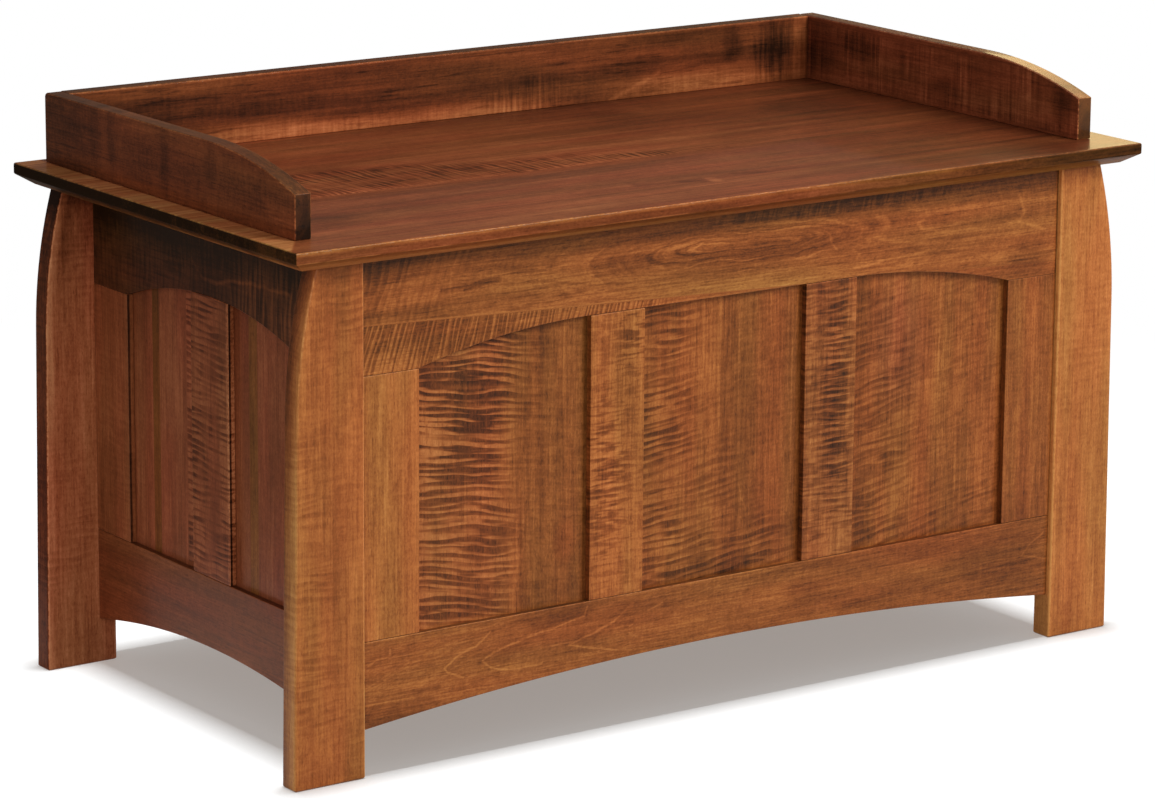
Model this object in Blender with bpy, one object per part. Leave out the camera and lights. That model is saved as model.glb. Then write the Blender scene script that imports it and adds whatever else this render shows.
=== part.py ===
# Storage chest with curved corner posts, panelled frames with arched rails, a hinged lid
# and a low gallery round the lid. Metres, +Z up. The front faces -Y. The origin lies on
# the floor below the middle of the lid.

import math

import bpy
import bmesh

# Fits
GAP = 0.0003                    # between two pieces that touch
ARC_STEP = 0.0125               # spacing of points along a curved rail edge

# Case
CASE_W = 1.058                  # over the feet of the posts
CASE_D = 0.525                  # front of the front posts to back of the rear posts
CASE_H = 0.5262                 # floor to the top of posts and rails

# Lid
LID_T = 0.022
LID_OVER_SIDE = 0.009           # lid edge beyond the feet
LID_OVER_FRONT = 0.023          # lid edge in front of the front posts
LID_OVER_BACK = 0.014           # lid edge behind the rear posts
UNDERCUT_RUN = 0.016            # bevel below the lid edge, measured inward
UNDERCUT_RISE = 0.0104          # and upward
LID_TOP_ROUND = 0.002

# Corner posts
POST_W = 0.083                  # at the foot
POST_T = 0.025
POST_LEAN = 0.0052              # outer edge leans in this much up to the curve
POST_CURVE_H = 0.1512           # the curve takes the top of the post
POST_CURVE_R = 0.555
POST_CURVE_PARTS = 12
POST_ROUND = 0.003
FOOT_EASE = 0.0015
ROUND_PROFILE = 0.5             # quarter circle

# Frames
FRAME_T = 0.020
FRONT_SETBACK = 0.006           # front frame behind the face of the front posts
GROOVE_D = 0.008
PANEL_T = 0.006
PANEL_SETBACK = 0.008           # panel face behind the frame face
PANEL_PLAY = 0.0003             # round the panel's edge inside its groove

LONG_STILE_END = 0.0675         # front and back frames
LONG_STILE_MID = 0.067
LONG_TOP_RAIL = 0.1162          # width of the top rail beside the posts
LONG_TOP_RISE = 0.0282
LONG_BOTTOM_RAIL = 0.0907       # width of the bottom rail beside the posts

SHORT_STILE_END = 0.070         # side frames
SHORT_STILE_MID = 0.074
SHORT_TOP_RAIL = 0.1082
SHORT_TOP_RISE = 0.0285
SHORT_BOTTOM_RAIL = 0.1005

SKIRT_END = 0.048               # lower edge of the bottom rails beside the posts
SKIRT_RISE = 0.0252

# Rail tenons: in the rail's thickness, then their upper and lower edges in from the
# top of a top rail and up from the lower edge of a bottom rail. Those of the side
# frames miss those of the long frames inside the post.
TENON_T = 0.008
TENON_SETBACK = 0.006
LONG_TENON_L = 0.022
SHORT_TENON_L = 0.012
LONG_TENON_DOWN = (0.010, 0.052)
SHORT_TENON_DOWN = (0.060, 0.092)
LONG_TENON_UP = (0.044, 0.078)
SHORT_TENON_UP = (0.008, 0.036)

# Floor of the chest
CLEAT = 0.018                   # square section
CLEAT_UP = 0.036                # above the lower edge of the bottom rails
BOARD_T = 0.012

# Gallery
RAIL_T = 0.019
RAIL_INSET = 0.030              # outer face of a side rail in from the lid's end
RAIL_FRONT = 0.050              # front end behind the lid's front edge
RAIL_BACK = 0.0155              # outer face of the back rail in from the lid's back edge
RAIL_H = 0.0735
RAIL_FRONT_H = 0.0455
RAIL_ARC = 0.170                # length of the falling curve
RAIL_ARC_PARTS = 14
RAIL_EASE = 0.0015
RAIL_HEEL = 0.004               # rounded upper rear corner
TONGUE_T = 0.007
TONGUE_D = 0.005                # tongue under a gallery rail, into the lid
TONGUE_STOP = 0.012             # tongue ends short of the rail's ends
DADO_D = 0.006                  # back rail into the side rails
DADO_TOP = 0.060

# Hinges
HINGE_IN = 0.086                # middle of an outer hinge in from the posts
HINGE_L = 0.076
LEAF_T = 0.002
LEAF_REACH = 0.016              # leaf from the back face of the case inward
KNUCKLES = 5
BARREL_R = 0.00325
PIN_R = 0.0015
PIN_HEAD_R = 0.0026
PIN_HEAD_T = 0.0015
PIN_BEHIND = 0.0046             # pin axis behind the back of the case
HEEL_FROM = 0.0036              # stop heel, distances from the pin axis
HEEL_TO = 0.008
HEEL_FACE = 0.00065
INSET = 0.00005                 # keeps the faces of joined blocks out of one plane
ROUND_PARTS = 20

# Places that follow from the sizes above
LID_W = CASE_W + 2 * LID_OVER_SIDE
LID_D = CASE_D + LID_OVER_FRONT + LID_OVER_BACK
FRONT_Y = -LID_D / 2 + LID_OVER_FRONT
BACK_Y = FRONT_Y + CASE_D
INNER_X = CASE_W / 2 - POST_W
SIDE_X = INNER_X + FRAME_T
LONG_SPAN = 2 * INNER_X
SHORT_SPAN = CASE_D - 2 * POST_T
MIDDLE_Y = (FRONT_Y + BACK_Y) / 2
LID_Z = CASE_H + GAP
PIN_Y = BACK_Y + PIN_BEHIND
PIN_Z = CASE_H + GAP / 2
GROOVE_T0 = PANEL_SETBACK - GAP
GROOVE_T1 = PANEL_SETBACK + PANEL_T + GAP
POST_CURVE_Z = CASE_H - POST_CURVE_H
HINGE_X = (HINGE_IN - INNER_X, 0.0, INNER_X - HINGE_IN)
SIDE_RAIL_Y0 = -LID_D / 2 + RAIL_FRONT
SIDE_RAIL_Y1 = LID_D / 2 - RAIL_BACK
BACK_RAIL_HALF = LID_W / 2 - RAIL_INSET - RAIL_T - GAP

WOOD = {
    "post": (0.36, 0.145, 0.045),
    "rail": (0.30, 0.108, 0.034),
    "stile": (0.32, 0.118, 0.037),
    "panel": (0.25, 0.085, 0.028),
    "side": (0.17, 0.055, 0.022),
    "lid": (0.20, 0.064, 0.024),
    "inside": (0.48, 0.30, 0.16),
}
BRASS = (0.55, 0.38, 0.16)


def clear_scene():
    for item in list(bpy.data.objects):
        bpy.data.objects.remove(item, do_unlink=True)


def prism(outline, low, high, axis):
    """Closed solid from a 2D outline, pushed from low to high along the axis."""
    order = {"x": lambda a, b, c: (c, a, b), "y": lambda a, b, c: (a, c, b)}[axis]
    bm = bmesh.new()
    near = [bm.verts.new(order(a, b, low)) for a, b in outline]
    far = [bm.verts.new(order(a, b, high)) for a, b in outline]
    bm.faces.new(near)
    bm.faces.new(far)
    for i in range(len(outline)):
        j = (i + 1) % len(outline)
        bm.faces.new((near[i], near[j], far[j], far[i]))
    bmesh.ops.recalc_face_normals(bm, faces=bm.faces)
    return bm


def block(x0, x1, y0, y1, z0, z1):
    return prism([(x0, z0), (x1, z0), (x1, z1), (x0, z1)], y0, y1, "y")


def lathe(stations):
    """Round solid along X from (x, radius) stations."""
    bm = bmesh.new()
    rings = []
    for x, radius in stations:
        ring = []
        for k in range(ROUND_PARTS):
            angle = 2 * math.pi * k / ROUND_PARTS
            ring.append(bm.verts.new((x, radius * math.cos(angle), radius * math.sin(angle))))
        rings.append(ring)
    for first, second in zip(rings, rings[1:]):
        for k in range(ROUND_PARTS):
            n = (k + 1) % ROUND_PARTS
            bm.faces.new((first[k], first[n], second[n], second[k]))
    bm.faces.new(rings[0])
    bm.faces.new(rings[-1])
    bmesh.ops.recalc_face_normals(bm, faces=bm.faces)
    return bm


def ease(bm, chosen, width, parts):
    """Round the chosen edges."""
    edges = [edge for edge in bm.edges if chosen(edge.verts[0].co, edge.verts[1].co)]
    bmesh.ops.bevel(bm, geom=edges, offset=width, segments=parts, profile=ROUND_PROFILE,
                    affect="EDGES", clamp_overlap=True)


def holder(name, bm):
    mesh = bpy.data.meshes.new(name)
    bm.to_mesh(mesh)
    bm.free()
    item = bpy.data.objects.new(name, mesh)
    bpy.context.scene.collection.objects.link(item)
    return item


def combine(body, pieces, operation):
    """Join pieces to a body, or cut them out of it."""
    for piece in pieces:
        target = holder("body", body)
        tool = holder("tool", piece)
        tool.hide_render = True
        tool.display_type = "WIRE"
        change = target.modifiers.new("change", "BOOLEAN")
        change.operation = operation
        change.solver = "EXACT"
        change.object = tool
        graph = bpy.context.evaluated_depsgraph_get()
        mesh = bpy.data.meshes.new_from_object(target.evaluated_get(graph))
        body = bmesh.new()
        body.from_mesh(mesh)
        bpy.data.meshes.remove(mesh)
        for item in (target, tool):
            old = item.data
            bpy.data.objects.remove(item, do_unlink=True)
            bpy.data.meshes.remove(old)
    return body


def join(body, pieces):
    return combine(body, pieces, "UNION")


def cut(body, pieces):
    return combine(body, pieces, "DIFFERENCE")


def finish(name, bm, colour, roughness, metallic, parent, location=(0, 0, 0), smooth=False):
    """Make the named object with its own material and hang it on its parent."""
    bmesh.ops.remove_doubles(bm, verts=bm.verts, dist=0.000001)
    bmesh.ops.recalc_face_normals(bm, faces=bm.faces)
    item = holder(name, bm)
    material = bpy.data.materials.new(name)
    material.use_nodes = True
    shader = material.node_tree.nodes["Principled BSDF"]
    shader.inputs["Base Color"].default_value = (*colour, 1.0)
    shader.inputs["Roughness"].default_value = roughness
    shader.inputs["Metallic"].default_value = metallic
    item.data.materials.append(material)
    item.parent = parent
    item.location = location
    if smooth:
        item.data.shade_smooth()
        item.data.set_sharp_from_angle(angle=math.radians(35))
    return item


def wood(name, bm, kind, parent, location=(0, 0, 0), smooth=False):
    return finish(name, bm, WOOD[kind], 0.38, 0.0, parent, location, smooth)


def empty(name, location, turn=0.0, parent=None):
    item = bpy.data.objects.new(name, None)
    item.location = location
    item.rotation_euler = (0, 0, turn)
    item.parent = parent
    bpy.context.scene.collection.objects.link(item)
    return item


def arched(end, rise, flat, reach):
    """Height along a rail edge: level in the middle, falling in an arc to the ends."""
    if rise == 0:
        return lambda s: end
    run = reach - flat
    radius = (run * run + rise * rise) / (2 * rise)

    def height(s):
        d = min(max(abs(s) - flat, 0.0), run)
        return end + rise - radius + math.sqrt(radius * radius - d * d)

    height.breaks = (-reach, -flat, flat, reach)
    return height


def stations(edge, first, last):
    """Positions along an edge: an even grid, the breaks of its curve and both ends."""
    if not hasattr(edge, "breaks"):
        return [first, last]
    steps = range(math.ceil(first / ARC_STEP), math.floor(last / ARC_STEP) + 1)
    marks = [k * ARC_STEP for k in steps] + list(edge.breaks)
    near = ARC_STEP / 10
    kept = [m for m in marks if first + near < m < last - near]
    return sorted(set([first, last] + kept))


def level(height):
    return lambda s: height


def below_top(span):
    return CASE_H - span[1], CASE_H - span[0]


def above_skirt(span):
    return SKIRT_END + span[0], SKIRT_END + span[1]


def strip(lower, upper, first, last, low_t, high_t, shift_low=0.0, shift_high=0.0):
    """Solid between two edges that run along a frame."""
    bottom = [(s, lower(s) + shift_low) for s in stations(lower, first, last)]
    top = [(s, upper(s) + shift_high) for s in stations(upper, first, last)]
    return prism(bottom + top[::-1], low_t, high_t, "y")


class Frame:
    """A frame of two rails, upright stiles and loose panels, seen from outside.

    Along the frame s runs to the right, t runs inward from the outer face.
    """

    def __init__(self, name, span, panels, stile_end, stile_mid, edges, tenons, kinds):
        self.name = name
        self.half = span / 2 - GAP
        self.opening = (span - 2 * stile_end - (panels - 1) * stile_mid) / panels
        self.openings = []
        left = -span / 2 + stile_end
        for k in range(panels):
            self.openings.append((left, left + self.opening))
            left += self.opening + stile_mid
        self.edges = edges
        self.tenons = tenons
        self.kinds = kinds

    def rail(self, lower, upper, tenon_z, groove_up):
        bm = strip(lower, upper, -self.half, self.half, 0, FRAME_T)
        length = self.tenons[0] - GAP
        low_t, high_t = TENON_SETBACK, TENON_SETBACK + TENON_T
        inside = FRAME_T / 4
        for side in (-1, 1):
            ends = sorted((side * (self.half - inside), side * (self.half + length)))
            bm = join(bm, [block(*ends, low_t, high_t, *tenon_z)])
        past = 2 * GAP
        if groove_up:
            groove = strip(lower, lower, -self.half - past, self.half + past,
                           GROOVE_T0, GROOVE_T1, -GROOVE_D, GROOVE_D)
        else:
            groove = strip(upper, upper, -self.half - past, self.half + past,
                           GROOVE_T0, GROOVE_T1, -GROOVE_D, GROOVE_D)
        return cut(bm, [groove])

    def stile(self, first, last, grooved):
        lower, upper = self.edges[1], self.edges[2]
        bm = strip(lower, upper, first, last, 0, FRAME_T, GAP, -GAP)
        thin = (GROOVE_T0 + GAP, GROOVE_T1 - GAP)
        reach = GROOVE_D - GAP
        tongue = strip(lower, upper, first + GAP, last - GAP, *thin, -reach, reach)
        bm = join(bm, [tongue])
        tall = (self.edges[1](0) - 2 * GROOVE_D, CASE_H)
        for side in grooved:
            edge = first if side < 0 else last
            across = sorted((edge + side * GROOVE_D, edge - side * GROOVE_D))
            bm = cut(bm, [block(*across, GROOVE_T0, GROOVE_T1, *tall)])
        return bm

    def panel(self, first, last):
        reach = GROOVE_D - PANEL_PLAY
        return strip(self.edges[1], self.edges[2], first - reach, last + reach,
                     PANEL_SETBACK, PANEL_SETBACK + PANEL_T, -reach, reach)

    def build(self, parent):
        skirt, bottom, top = self.edges
        roof = level(CASE_H)
        rail, stile, panel = self.kinds
        upper_rail = self.rail(top, roof, self.tenons[1], True)
        lower_rail = self.rail(skirt, bottom, self.tenons[2], False)
        wood(self.name + "_top_rail", upper_rail, rail, parent)
        wood(self.name + "_bottom_rail", lower_rail, rail, parent)
        starts = [-self.half] + [right for left, right in self.openings]
        stops = [left for left, right in self.openings] + [self.half]
        for k, (first, last) in enumerate(zip(starts, stops)):
            grooved = [side for side, end in ((-1, first), (1, last)) if abs(end) < self.half]
            wood(f"{self.name}_stile_{k + 1}", self.stile(first, last, grooved), stile, parent)
        for k, (first, last) in enumerate(self.openings):
            wood(f"{self.name}_panel_{k + 1}", self.panel(first, last), panel, parent)


def post_outline():
    """Post seen from the front: straight inner edge at 0, curved outer edge."""
    outer = [(POST_W, 0.0)]
    slope = POST_LEAN / POST_CURVE_Z
    for k in range(POST_CURVE_PARTS + 1):
        rise = (CASE_H - POST_CURVE_Z) * k / POST_CURVE_PARTS
        bend = POST_CURVE_R - math.sqrt(POST_CURVE_R ** 2 - rise ** 2)
        outer.append((POST_W - POST_LEAN - slope * rise - bend, POST_CURVE_Z + rise))
    return [(0.0, 0.0)] + outer + [(0.0, CASE_H)]


def post(name, side, end, setback, parent):
    """Corner post. Side is -1 left or 1 right, end is -1 front or 1 back."""
    bm = prism(post_outline(), 0, POST_T, "y")
    tiny = GAP

    def long_arris(a, b):
        upright = abs(a.z - b.z) > tiny
        outer_face = abs(a.y) < tiny and abs(b.y) < tiny
        outer_edge = min(a.x, b.x) > POST_W / 4
        same_face = abs(a.y - b.y) < tiny
        return upright and same_face and (outer_face or outer_edge)

    ease(bm, long_arris, POST_ROUND, 4)
    ease(bm, lambda a, b: max(a.z, b.z) < tiny, FOOT_EASE, 1)

    low = setback + TENON_SETBACK - GAP
    high = setback + TENON_SETBACK + TENON_T + GAP
    slots = []
    for z0, z1 in (below_top(LONG_TENON_DOWN), above_skirt(LONG_TENON_UP)):
        slots.append(block(-POST_ROUND, LONG_TENON_L + GAP, low, high, z0 - GAP, z1 + GAP))
    near = FRAME_T - TENON_SETBACK - TENON_T - GAP
    far = FRAME_T - TENON_SETBACK + GAP
    floor = POST_T - SHORT_TENON_L - GAP
    for z0, z1 in (below_top(SHORT_TENON_DOWN), above_skirt(SHORT_TENON_UP)):
        slots.append(block(near, far, floor, POST_T + POST_ROUND, z0 - GAP, z1 + GAP))
    bm = cut(bm, slots)
    for vert in bm.verts:
        vert.co.x *= side
        vert.co.y *= -end
    face_y = FRONT_Y if end < 0 else BACK_Y
    wood(name, bm, "post", parent, (side * INNER_X, face_y, 0), True)


def hinge_slots(low_z, high_z, y0, y1):
    """Cutters for the leaf recesses, all three hinges."""
    half = HINGE_L / 2 + GAP
    return [block(x - half, x + half, y0, y1, low_z, high_z) for x in HINGE_X]


def knuckle_ends(k):
    width = HINGE_L / KNUCKLES
    start = -HINGE_L / 2 + k * width
    return start + GAP / 2, start + width - GAP / 2


def leaf(owner):
    """Hinge leaf about the pin axis at the origin. Owner 0 is the case, 1 is the lid.

    Stop heels on both leaves meet when the lid stands open.
    """
    half = HINGE_L / 2
    root = -PIN_BEHIND
    plate_end = -BARREL_R - 2 * GAP
    if owner == 0:
        low, high = -GAP / 2 - LEAF_T, -GAP / 2
    else:
        low, high = GAP / 2, GAP / 2 + LEAF_T
    bm = block(-half, half, root - LEAF_REACH, plate_end, low, high)
    middle = (low + high) / 2
    if owner == 0:
        bar = block(-half + INSET, half - INSET, root + GAP, -HEEL_FACE, -HEEL_TO, -HEEL_FROM)
        for k in range(0, KNUCKLES, 2):
            first, last = knuckle_ends(k)
            web = block(first + 2 * INSET, last - 2 * INSET, root + GAP + INSET,
                        -HEEL_FACE - INSET, -HEEL_FROM - 2 * GAP, middle)
            bar = join(bar, [web])
        bm = join(bm, [bar])
    bores = []
    for k in range(owner, KNUCKLES, 2):
        first, last = knuckle_ends(k)
        stop = HEEL_TO if owner else 0
        tab = block(first + INSET, last - INSET, plate_end - 2 * GAP, stop,
                    low + INSET, high - INSET)
        bm = join(bm, [tab])
        bm = join(bm, [lathe([(first, BARREL_R), (last, BARREL_R)])])
        bores.append(lathe([(first - GAP / 3, PIN_R + GAP), (last + GAP / 3, PIN_R + GAP)]))
    return cut(bm, bores)


def hinge(number, x, case, lid, axis):
    for owner, word, parent in ((0, "case", case), (1, "lid", lid)):
        spot = (x, 0, 0) if owner else (x, axis[1], axis[2])
        finish(f"hinge_{number}_{word}_leaf", leaf(owner), BRASS, 0.34, 1.0, parent, spot, True)
    end = HINGE_L / 2 + GAP
    head = end + PIN_HEAD_T
    crown = PIN_HEAD_T / 3
    spine = [(-head, PIN_HEAD_R - crown), (-head + crown, PIN_HEAD_R), (-end, PIN_HEAD_R),
             (-end, PIN_R), (end, PIN_R), (end, PIN_HEAD_R), (head - crown, PIN_HEAD_R),
             (head, PIN_HEAD_R - crown)]
    finish(f"hinge_{number}_pin", lathe(spine), BRASS, 0.3, 1.0, case, (x, axis[1], axis[2]), True)


def lid_panel():
    """Lid board, its underside at z 0, middle at the origin."""
    turn = LID_TOP_ROUND
    levels = [(UNDERCUT_RUN, 0), (0, UNDERCUT_RISE)]
    for k in range(4):
        angle = math.pi / 2 * k / 3
        levels.append((turn * (1 - math.cos(angle)), LID_T - turn * (1 - math.sin(angle))))
    bm = bmesh.new()
    rings = []
    for inset, z in levels:
        x, y = LID_W / 2 - inset, LID_D / 2 - inset
        corners = ((-x, -y), (x, -y), (x, y), (-x, y))
        rings.append([bm.verts.new((a, b, z)) for a, b in corners])
    for lower, upper in zip(rings, rings[1:]):
        for k in range(4):
            n = (k + 1) % 4
            bm.faces.new((lower[k], lower[n], upper[n], upper[k]))
    bm.faces.new(rings[0])
    bm.faces.new(rings[-1])
    bmesh.ops.recalc_face_normals(bm, faces=bm.faces)
    depth = LID_T - TONGUE_D - GAP
    grooves = []
    half = TONGUE_T / 2 + GAP
    for side in (-1, 1):
        x = side * (LID_W / 2 - RAIL_INSET - RAIL_T / 2)
        grooves.append(block(x - half, x + half, SIDE_RAIL_Y0 + TONGUE_STOP - GAP,
                             SIDE_RAIL_Y1 - TONGUE_STOP + GAP, depth, LID_T + GAP))
    y = SIDE_RAIL_Y1 - RAIL_T / 2
    reach = BACK_RAIL_HALF - TONGUE_STOP + GAP
    grooves.append(block(-reach, reach, y - half, y + half, depth, LID_T + GAP))
    inner = BACK_Y - LEAF_REACH - GAP
    outer = PIN_Y + BARREL_R + GAP
    grooves += hinge_slots(-GAP, LEAF_T + GAP, inner, outer)
    return cut(bm, grooves)


def side_rail(side):
    """Gallery side rail with its lower face at z 0. The top falls in an arc to the front."""
    drop = RAIL_H - RAIL_FRONT_H
    radius = (RAIL_ARC ** 2 + drop ** 2) / (2 * drop)
    outline = [(SIDE_RAIL_Y1, 0), (SIDE_RAIL_Y1, RAIL_H - RAIL_HEEL),
               (SIDE_RAIL_Y1 - RAIL_HEEL * 0.3, RAIL_H - RAIL_HEEL * 0.3),
               (SIDE_RAIL_Y1 - RAIL_HEEL, RAIL_H)]
    for k in range(RAIL_ARC_PARTS + 1):
        run = RAIL_ARC * k / RAIL_ARC_PARTS
        y = SIDE_RAIL_Y0 + RAIL_ARC - run
        outline.append((y, RAIL_H - radius + math.sqrt(radius ** 2 - run ** 2)))
    outline.append((SIDE_RAIL_Y0, 0))
    bm = prism(outline, -RAIL_T / 2, RAIL_T / 2, "x")
    tiny = GAP
    ease(bm, lambda a, b: abs(a.x - b.x) < tiny and max(a.z, b.z) > tiny, RAIL_EASE, 2)
    half = TONGUE_T / 2
    tongue = block(-half, half, SIDE_RAIL_Y0 + TONGUE_STOP, SIDE_RAIL_Y1 - TONGUE_STOP,
                   -TONGUE_D, TONGUE_D)
    bm = join(bm, [tongue])
    inner = -side * RAIL_T / 2
    across = sorted((inner - side * GAP, inner + side * (DADO_D + GAP)))
    y = SIDE_RAIL_Y1 - RAIL_T / 2
    dado = block(*across, y - half - GAP, y + half + GAP, RAIL_EASE * 4 - GAP, DADO_TOP + GAP)
    return cut(bm, [dado])


def back_rail():
    """Gallery back rail with its lower face at z 0, middle at the origin."""
    half_t = RAIL_T / 2
    bm = block(-BACK_RAIL_HALF, BACK_RAIL_HALF, -half_t, half_t, 0, RAIL_H)
    tiny = GAP
    ease(bm, lambda a, b: min(a.z, b.z) > RAIL_H - tiny and abs(a.y - b.y) < tiny, RAIL_EASE, 2)
    half = TONGUE_T / 2
    reach = BACK_RAIL_HALF - TONGUE_STOP
    bm = join(bm, [block(-reach, reach, -half, half, -TONGUE_D, TONGUE_D)])
    for side in (-1, 1):
        ends = sorted((side * (BACK_RAIL_HALF - DADO_D), side * (BACK_RAIL_HALF + DADO_D)))
        bm = join(bm, [block(*ends, -half, half, RAIL_EASE * 4, DADO_TOP)])
    return bm


def build_case():
    root = empty("case", (0, 0, 0))
    for side, side_word in ((-1, "left"), (1, "right")):
        post(f"post_front_{side_word}", side, -1, FRONT_SETBACK, root)
        post(f"post_rear_{side_word}", side, 1, 0.0, root)

    half_long = LONG_SPAN / 2
    arc_long = half_long - LONG_STILE_END
    opening = (LONG_SPAN - 2 * LONG_STILE_END - 2 * LONG_STILE_MID) / 3
    flat_long = opening / 2 + LONG_STILE_MID
    skirt_long = arched(SKIRT_END, SKIRT_RISE, 0, half_long)
    bottom_long = level(SKIRT_END + LONG_BOTTOM_RAIL)
    top_edge = CASE_H - LONG_TOP_RAIL
    arch_long = arched(top_edge, LONG_TOP_RISE, flat_long, arc_long)
    tenons = (LONG_TENON_L, below_top(LONG_TENON_DOWN), above_skirt(LONG_TENON_UP))
    front_at = empty("front_frame", (0, FRONT_Y + FRONT_SETBACK, 0), 0, root)
    front = Frame("front", LONG_SPAN, 3, LONG_STILE_END, LONG_STILE_MID,
                  (skirt_long, bottom_long, arch_long), tenons, ("rail", "stile", "panel"))
    front.build(front_at)

    back_at = empty("back_frame", (0, BACK_Y, 0), math.pi, root)
    back = Frame("back", LONG_SPAN, 3, LONG_STILE_END, LONG_STILE_MID,
                 (skirt_long, bottom_long, level(top_edge)), tenons,
                 ("side", "side", "side"))
    back.build(back_at)

    half_short = SHORT_SPAN / 2
    skirt_short = arched(SKIRT_END, SKIRT_RISE, 0, half_short)
    arch_short = arched(CASE_H - SHORT_TOP_RAIL, SHORT_TOP_RISE, 0,
                        half_short - SHORT_STILE_END)
    tenons = (SHORT_TENON_L, below_top(SHORT_TENON_DOWN), above_skirt(SHORT_TENON_UP))
    for name, side in (("left", -1), ("right", 1)):
        at = empty(f"{name}_frame", (side * SIDE_X, MIDDLE_Y, 0), side * math.pi / 2, root)
        frame = Frame(name, SHORT_SPAN, 2, SHORT_STILE_END, SHORT_STILE_MID,
                      (skirt_short, level(SKIRT_END + SHORT_BOTTOM_RAIL), arch_short), tenons,
                      ("side", "side", "side"))
        frame.build(at)
    return root


def recess_back_rail():
    """Leaf recesses in the top edge of the back rail."""
    rail = bpy.data.objects["back_top_rail"]
    bm = bmesh.new()
    bm.from_mesh(rail.data)
    slots = hinge_slots(CASE_H - LEAF_T - GAP, CASE_H + GAP, -GAP, LEAF_REACH + GAP)
    bm = cut(bm, slots)
    bm.to_mesh(rail.data)
    bm.free()


def build_floor(root):
    front = FRONT_Y + FRONT_SETBACK + FRAME_T + GAP
    back = BACK_Y - FRAME_T - GAP
    wide = INNER_X - GAP
    low = SKIRT_END + CLEAT_UP
    top = low + CLEAT
    for name, y0, y1 in (("front", front, front + CLEAT), ("back", back - CLEAT, back)):
        wood(f"cleat_{name}", block(-wide, wide, y0, y1, low, top), "inside", root)
    for name, side in (("left", -1), ("right", 1)):
        ends = sorted((side * wide, side * (wide - CLEAT)))
        bar = block(*ends, front + CLEAT + GAP, back - CLEAT - GAP, low, top)
        wood(f"cleat_{name}", bar, "inside", root)
    board = block(-wide, wide, front, back, top + GAP, top + GAP + BOARD_T)
    wood("bottom_board", board, "inside", root)


def build_lid(lid):
    """Lid pieces hang on an empty that lies on the pin axis."""
    wood("lid_panel", lid_panel(), "lid", lid, (0, -PIN_Y, LID_Z - PIN_Z))
    top = LID_Z + LID_T + GAP - PIN_Z
    for name, side in (("left", -1), ("right", 1)):
        x = side * (LID_W / 2 - RAIL_INSET - RAIL_T / 2)
        wood(f"gallery_{name}", side_rail(side), "lid", lid, (x, -PIN_Y, top), True)
    y = SIDE_RAIL_Y1 - RAIL_T / 2
    wood("gallery_back", back_rail(), "lid", lid, (0, y - PIN_Y, top), True)


clear_scene()
case = build_case()
recess_back_rail()
build_floor(case)
axis = (0, PIN_Y, PIN_Z)
lid = empty("lid", axis)
build_lid(lid)
for number, x in enumerate(HINGE_X):
    hinge(number + 1, x, case, lid, axis)
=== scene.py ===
"""Storage chest in stained curly maple: looks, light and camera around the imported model."""
import math

import bpy
import bmesh
from mathutils import Matrix, Vector


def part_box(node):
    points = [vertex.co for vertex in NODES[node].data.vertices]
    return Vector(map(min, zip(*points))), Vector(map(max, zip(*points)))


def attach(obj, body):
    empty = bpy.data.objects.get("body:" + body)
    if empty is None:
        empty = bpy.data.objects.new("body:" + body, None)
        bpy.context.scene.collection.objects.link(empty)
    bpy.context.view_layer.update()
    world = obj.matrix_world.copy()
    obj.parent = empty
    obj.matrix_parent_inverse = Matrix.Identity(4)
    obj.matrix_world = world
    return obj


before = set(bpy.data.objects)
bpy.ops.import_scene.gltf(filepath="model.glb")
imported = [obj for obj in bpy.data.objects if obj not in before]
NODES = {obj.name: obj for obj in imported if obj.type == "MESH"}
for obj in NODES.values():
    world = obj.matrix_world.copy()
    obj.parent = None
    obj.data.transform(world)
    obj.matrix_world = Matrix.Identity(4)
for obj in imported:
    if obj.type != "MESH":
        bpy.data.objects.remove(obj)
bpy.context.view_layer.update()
SCENE = bpy.context.scene
X, Y, Z = range(3)

# Places on the model, in metres
CASE_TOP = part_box("front_top_rail")[1].z
SIDE_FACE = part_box("left_stile_1")[0].x
POST_INNER, POST_OUTER = (corner.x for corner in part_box("post_front_right"))
LID_UNDER, LID_TOP = (corner.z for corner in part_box("lid_panel"))
LID_WAIST = LID_UNDER + 0.0104          # where the undercut of the lid's edge begins
GALLERY_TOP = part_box("gallery_back")[1].z
GALLERY_LEFT, GALLERY_FRONT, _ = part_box("gallery_left")[0]

# The outer edge of a corner post leans in, and then curves in at the top
POST_LEAN = 0.0052
POST_CURVE_H = 0.1512
POST_CURVE_R = 0.555
POST_CURVE_START = CASE_TOP - POST_CURVE_H


# Node arithmetic

class Val:
    """A number, a vector or a shader that a node puts out. Arithmetic on it makes more nodes."""

    def __init__(self, net, out):
        self.net = net
        self.out = out

    def __add__(self, other):
        return self.net.math("ADD", self, other)

    __radd__ = __add__

    def __sub__(self, other):
        return self.net.math("SUBTRACT", self, other)

    def __rsub__(self, other):
        return self.net.math("SUBTRACT", other, self)

    def __mul__(self, other):
        return self.net.math("MULTIPLY", self, other)

    __rmul__ = __mul__

    def __truediv__(self, other):
        return self.net.math("DIVIDE", self, other)

    def __abs__(self):
        return self.net.math("ABSOLUTE", self)


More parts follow.
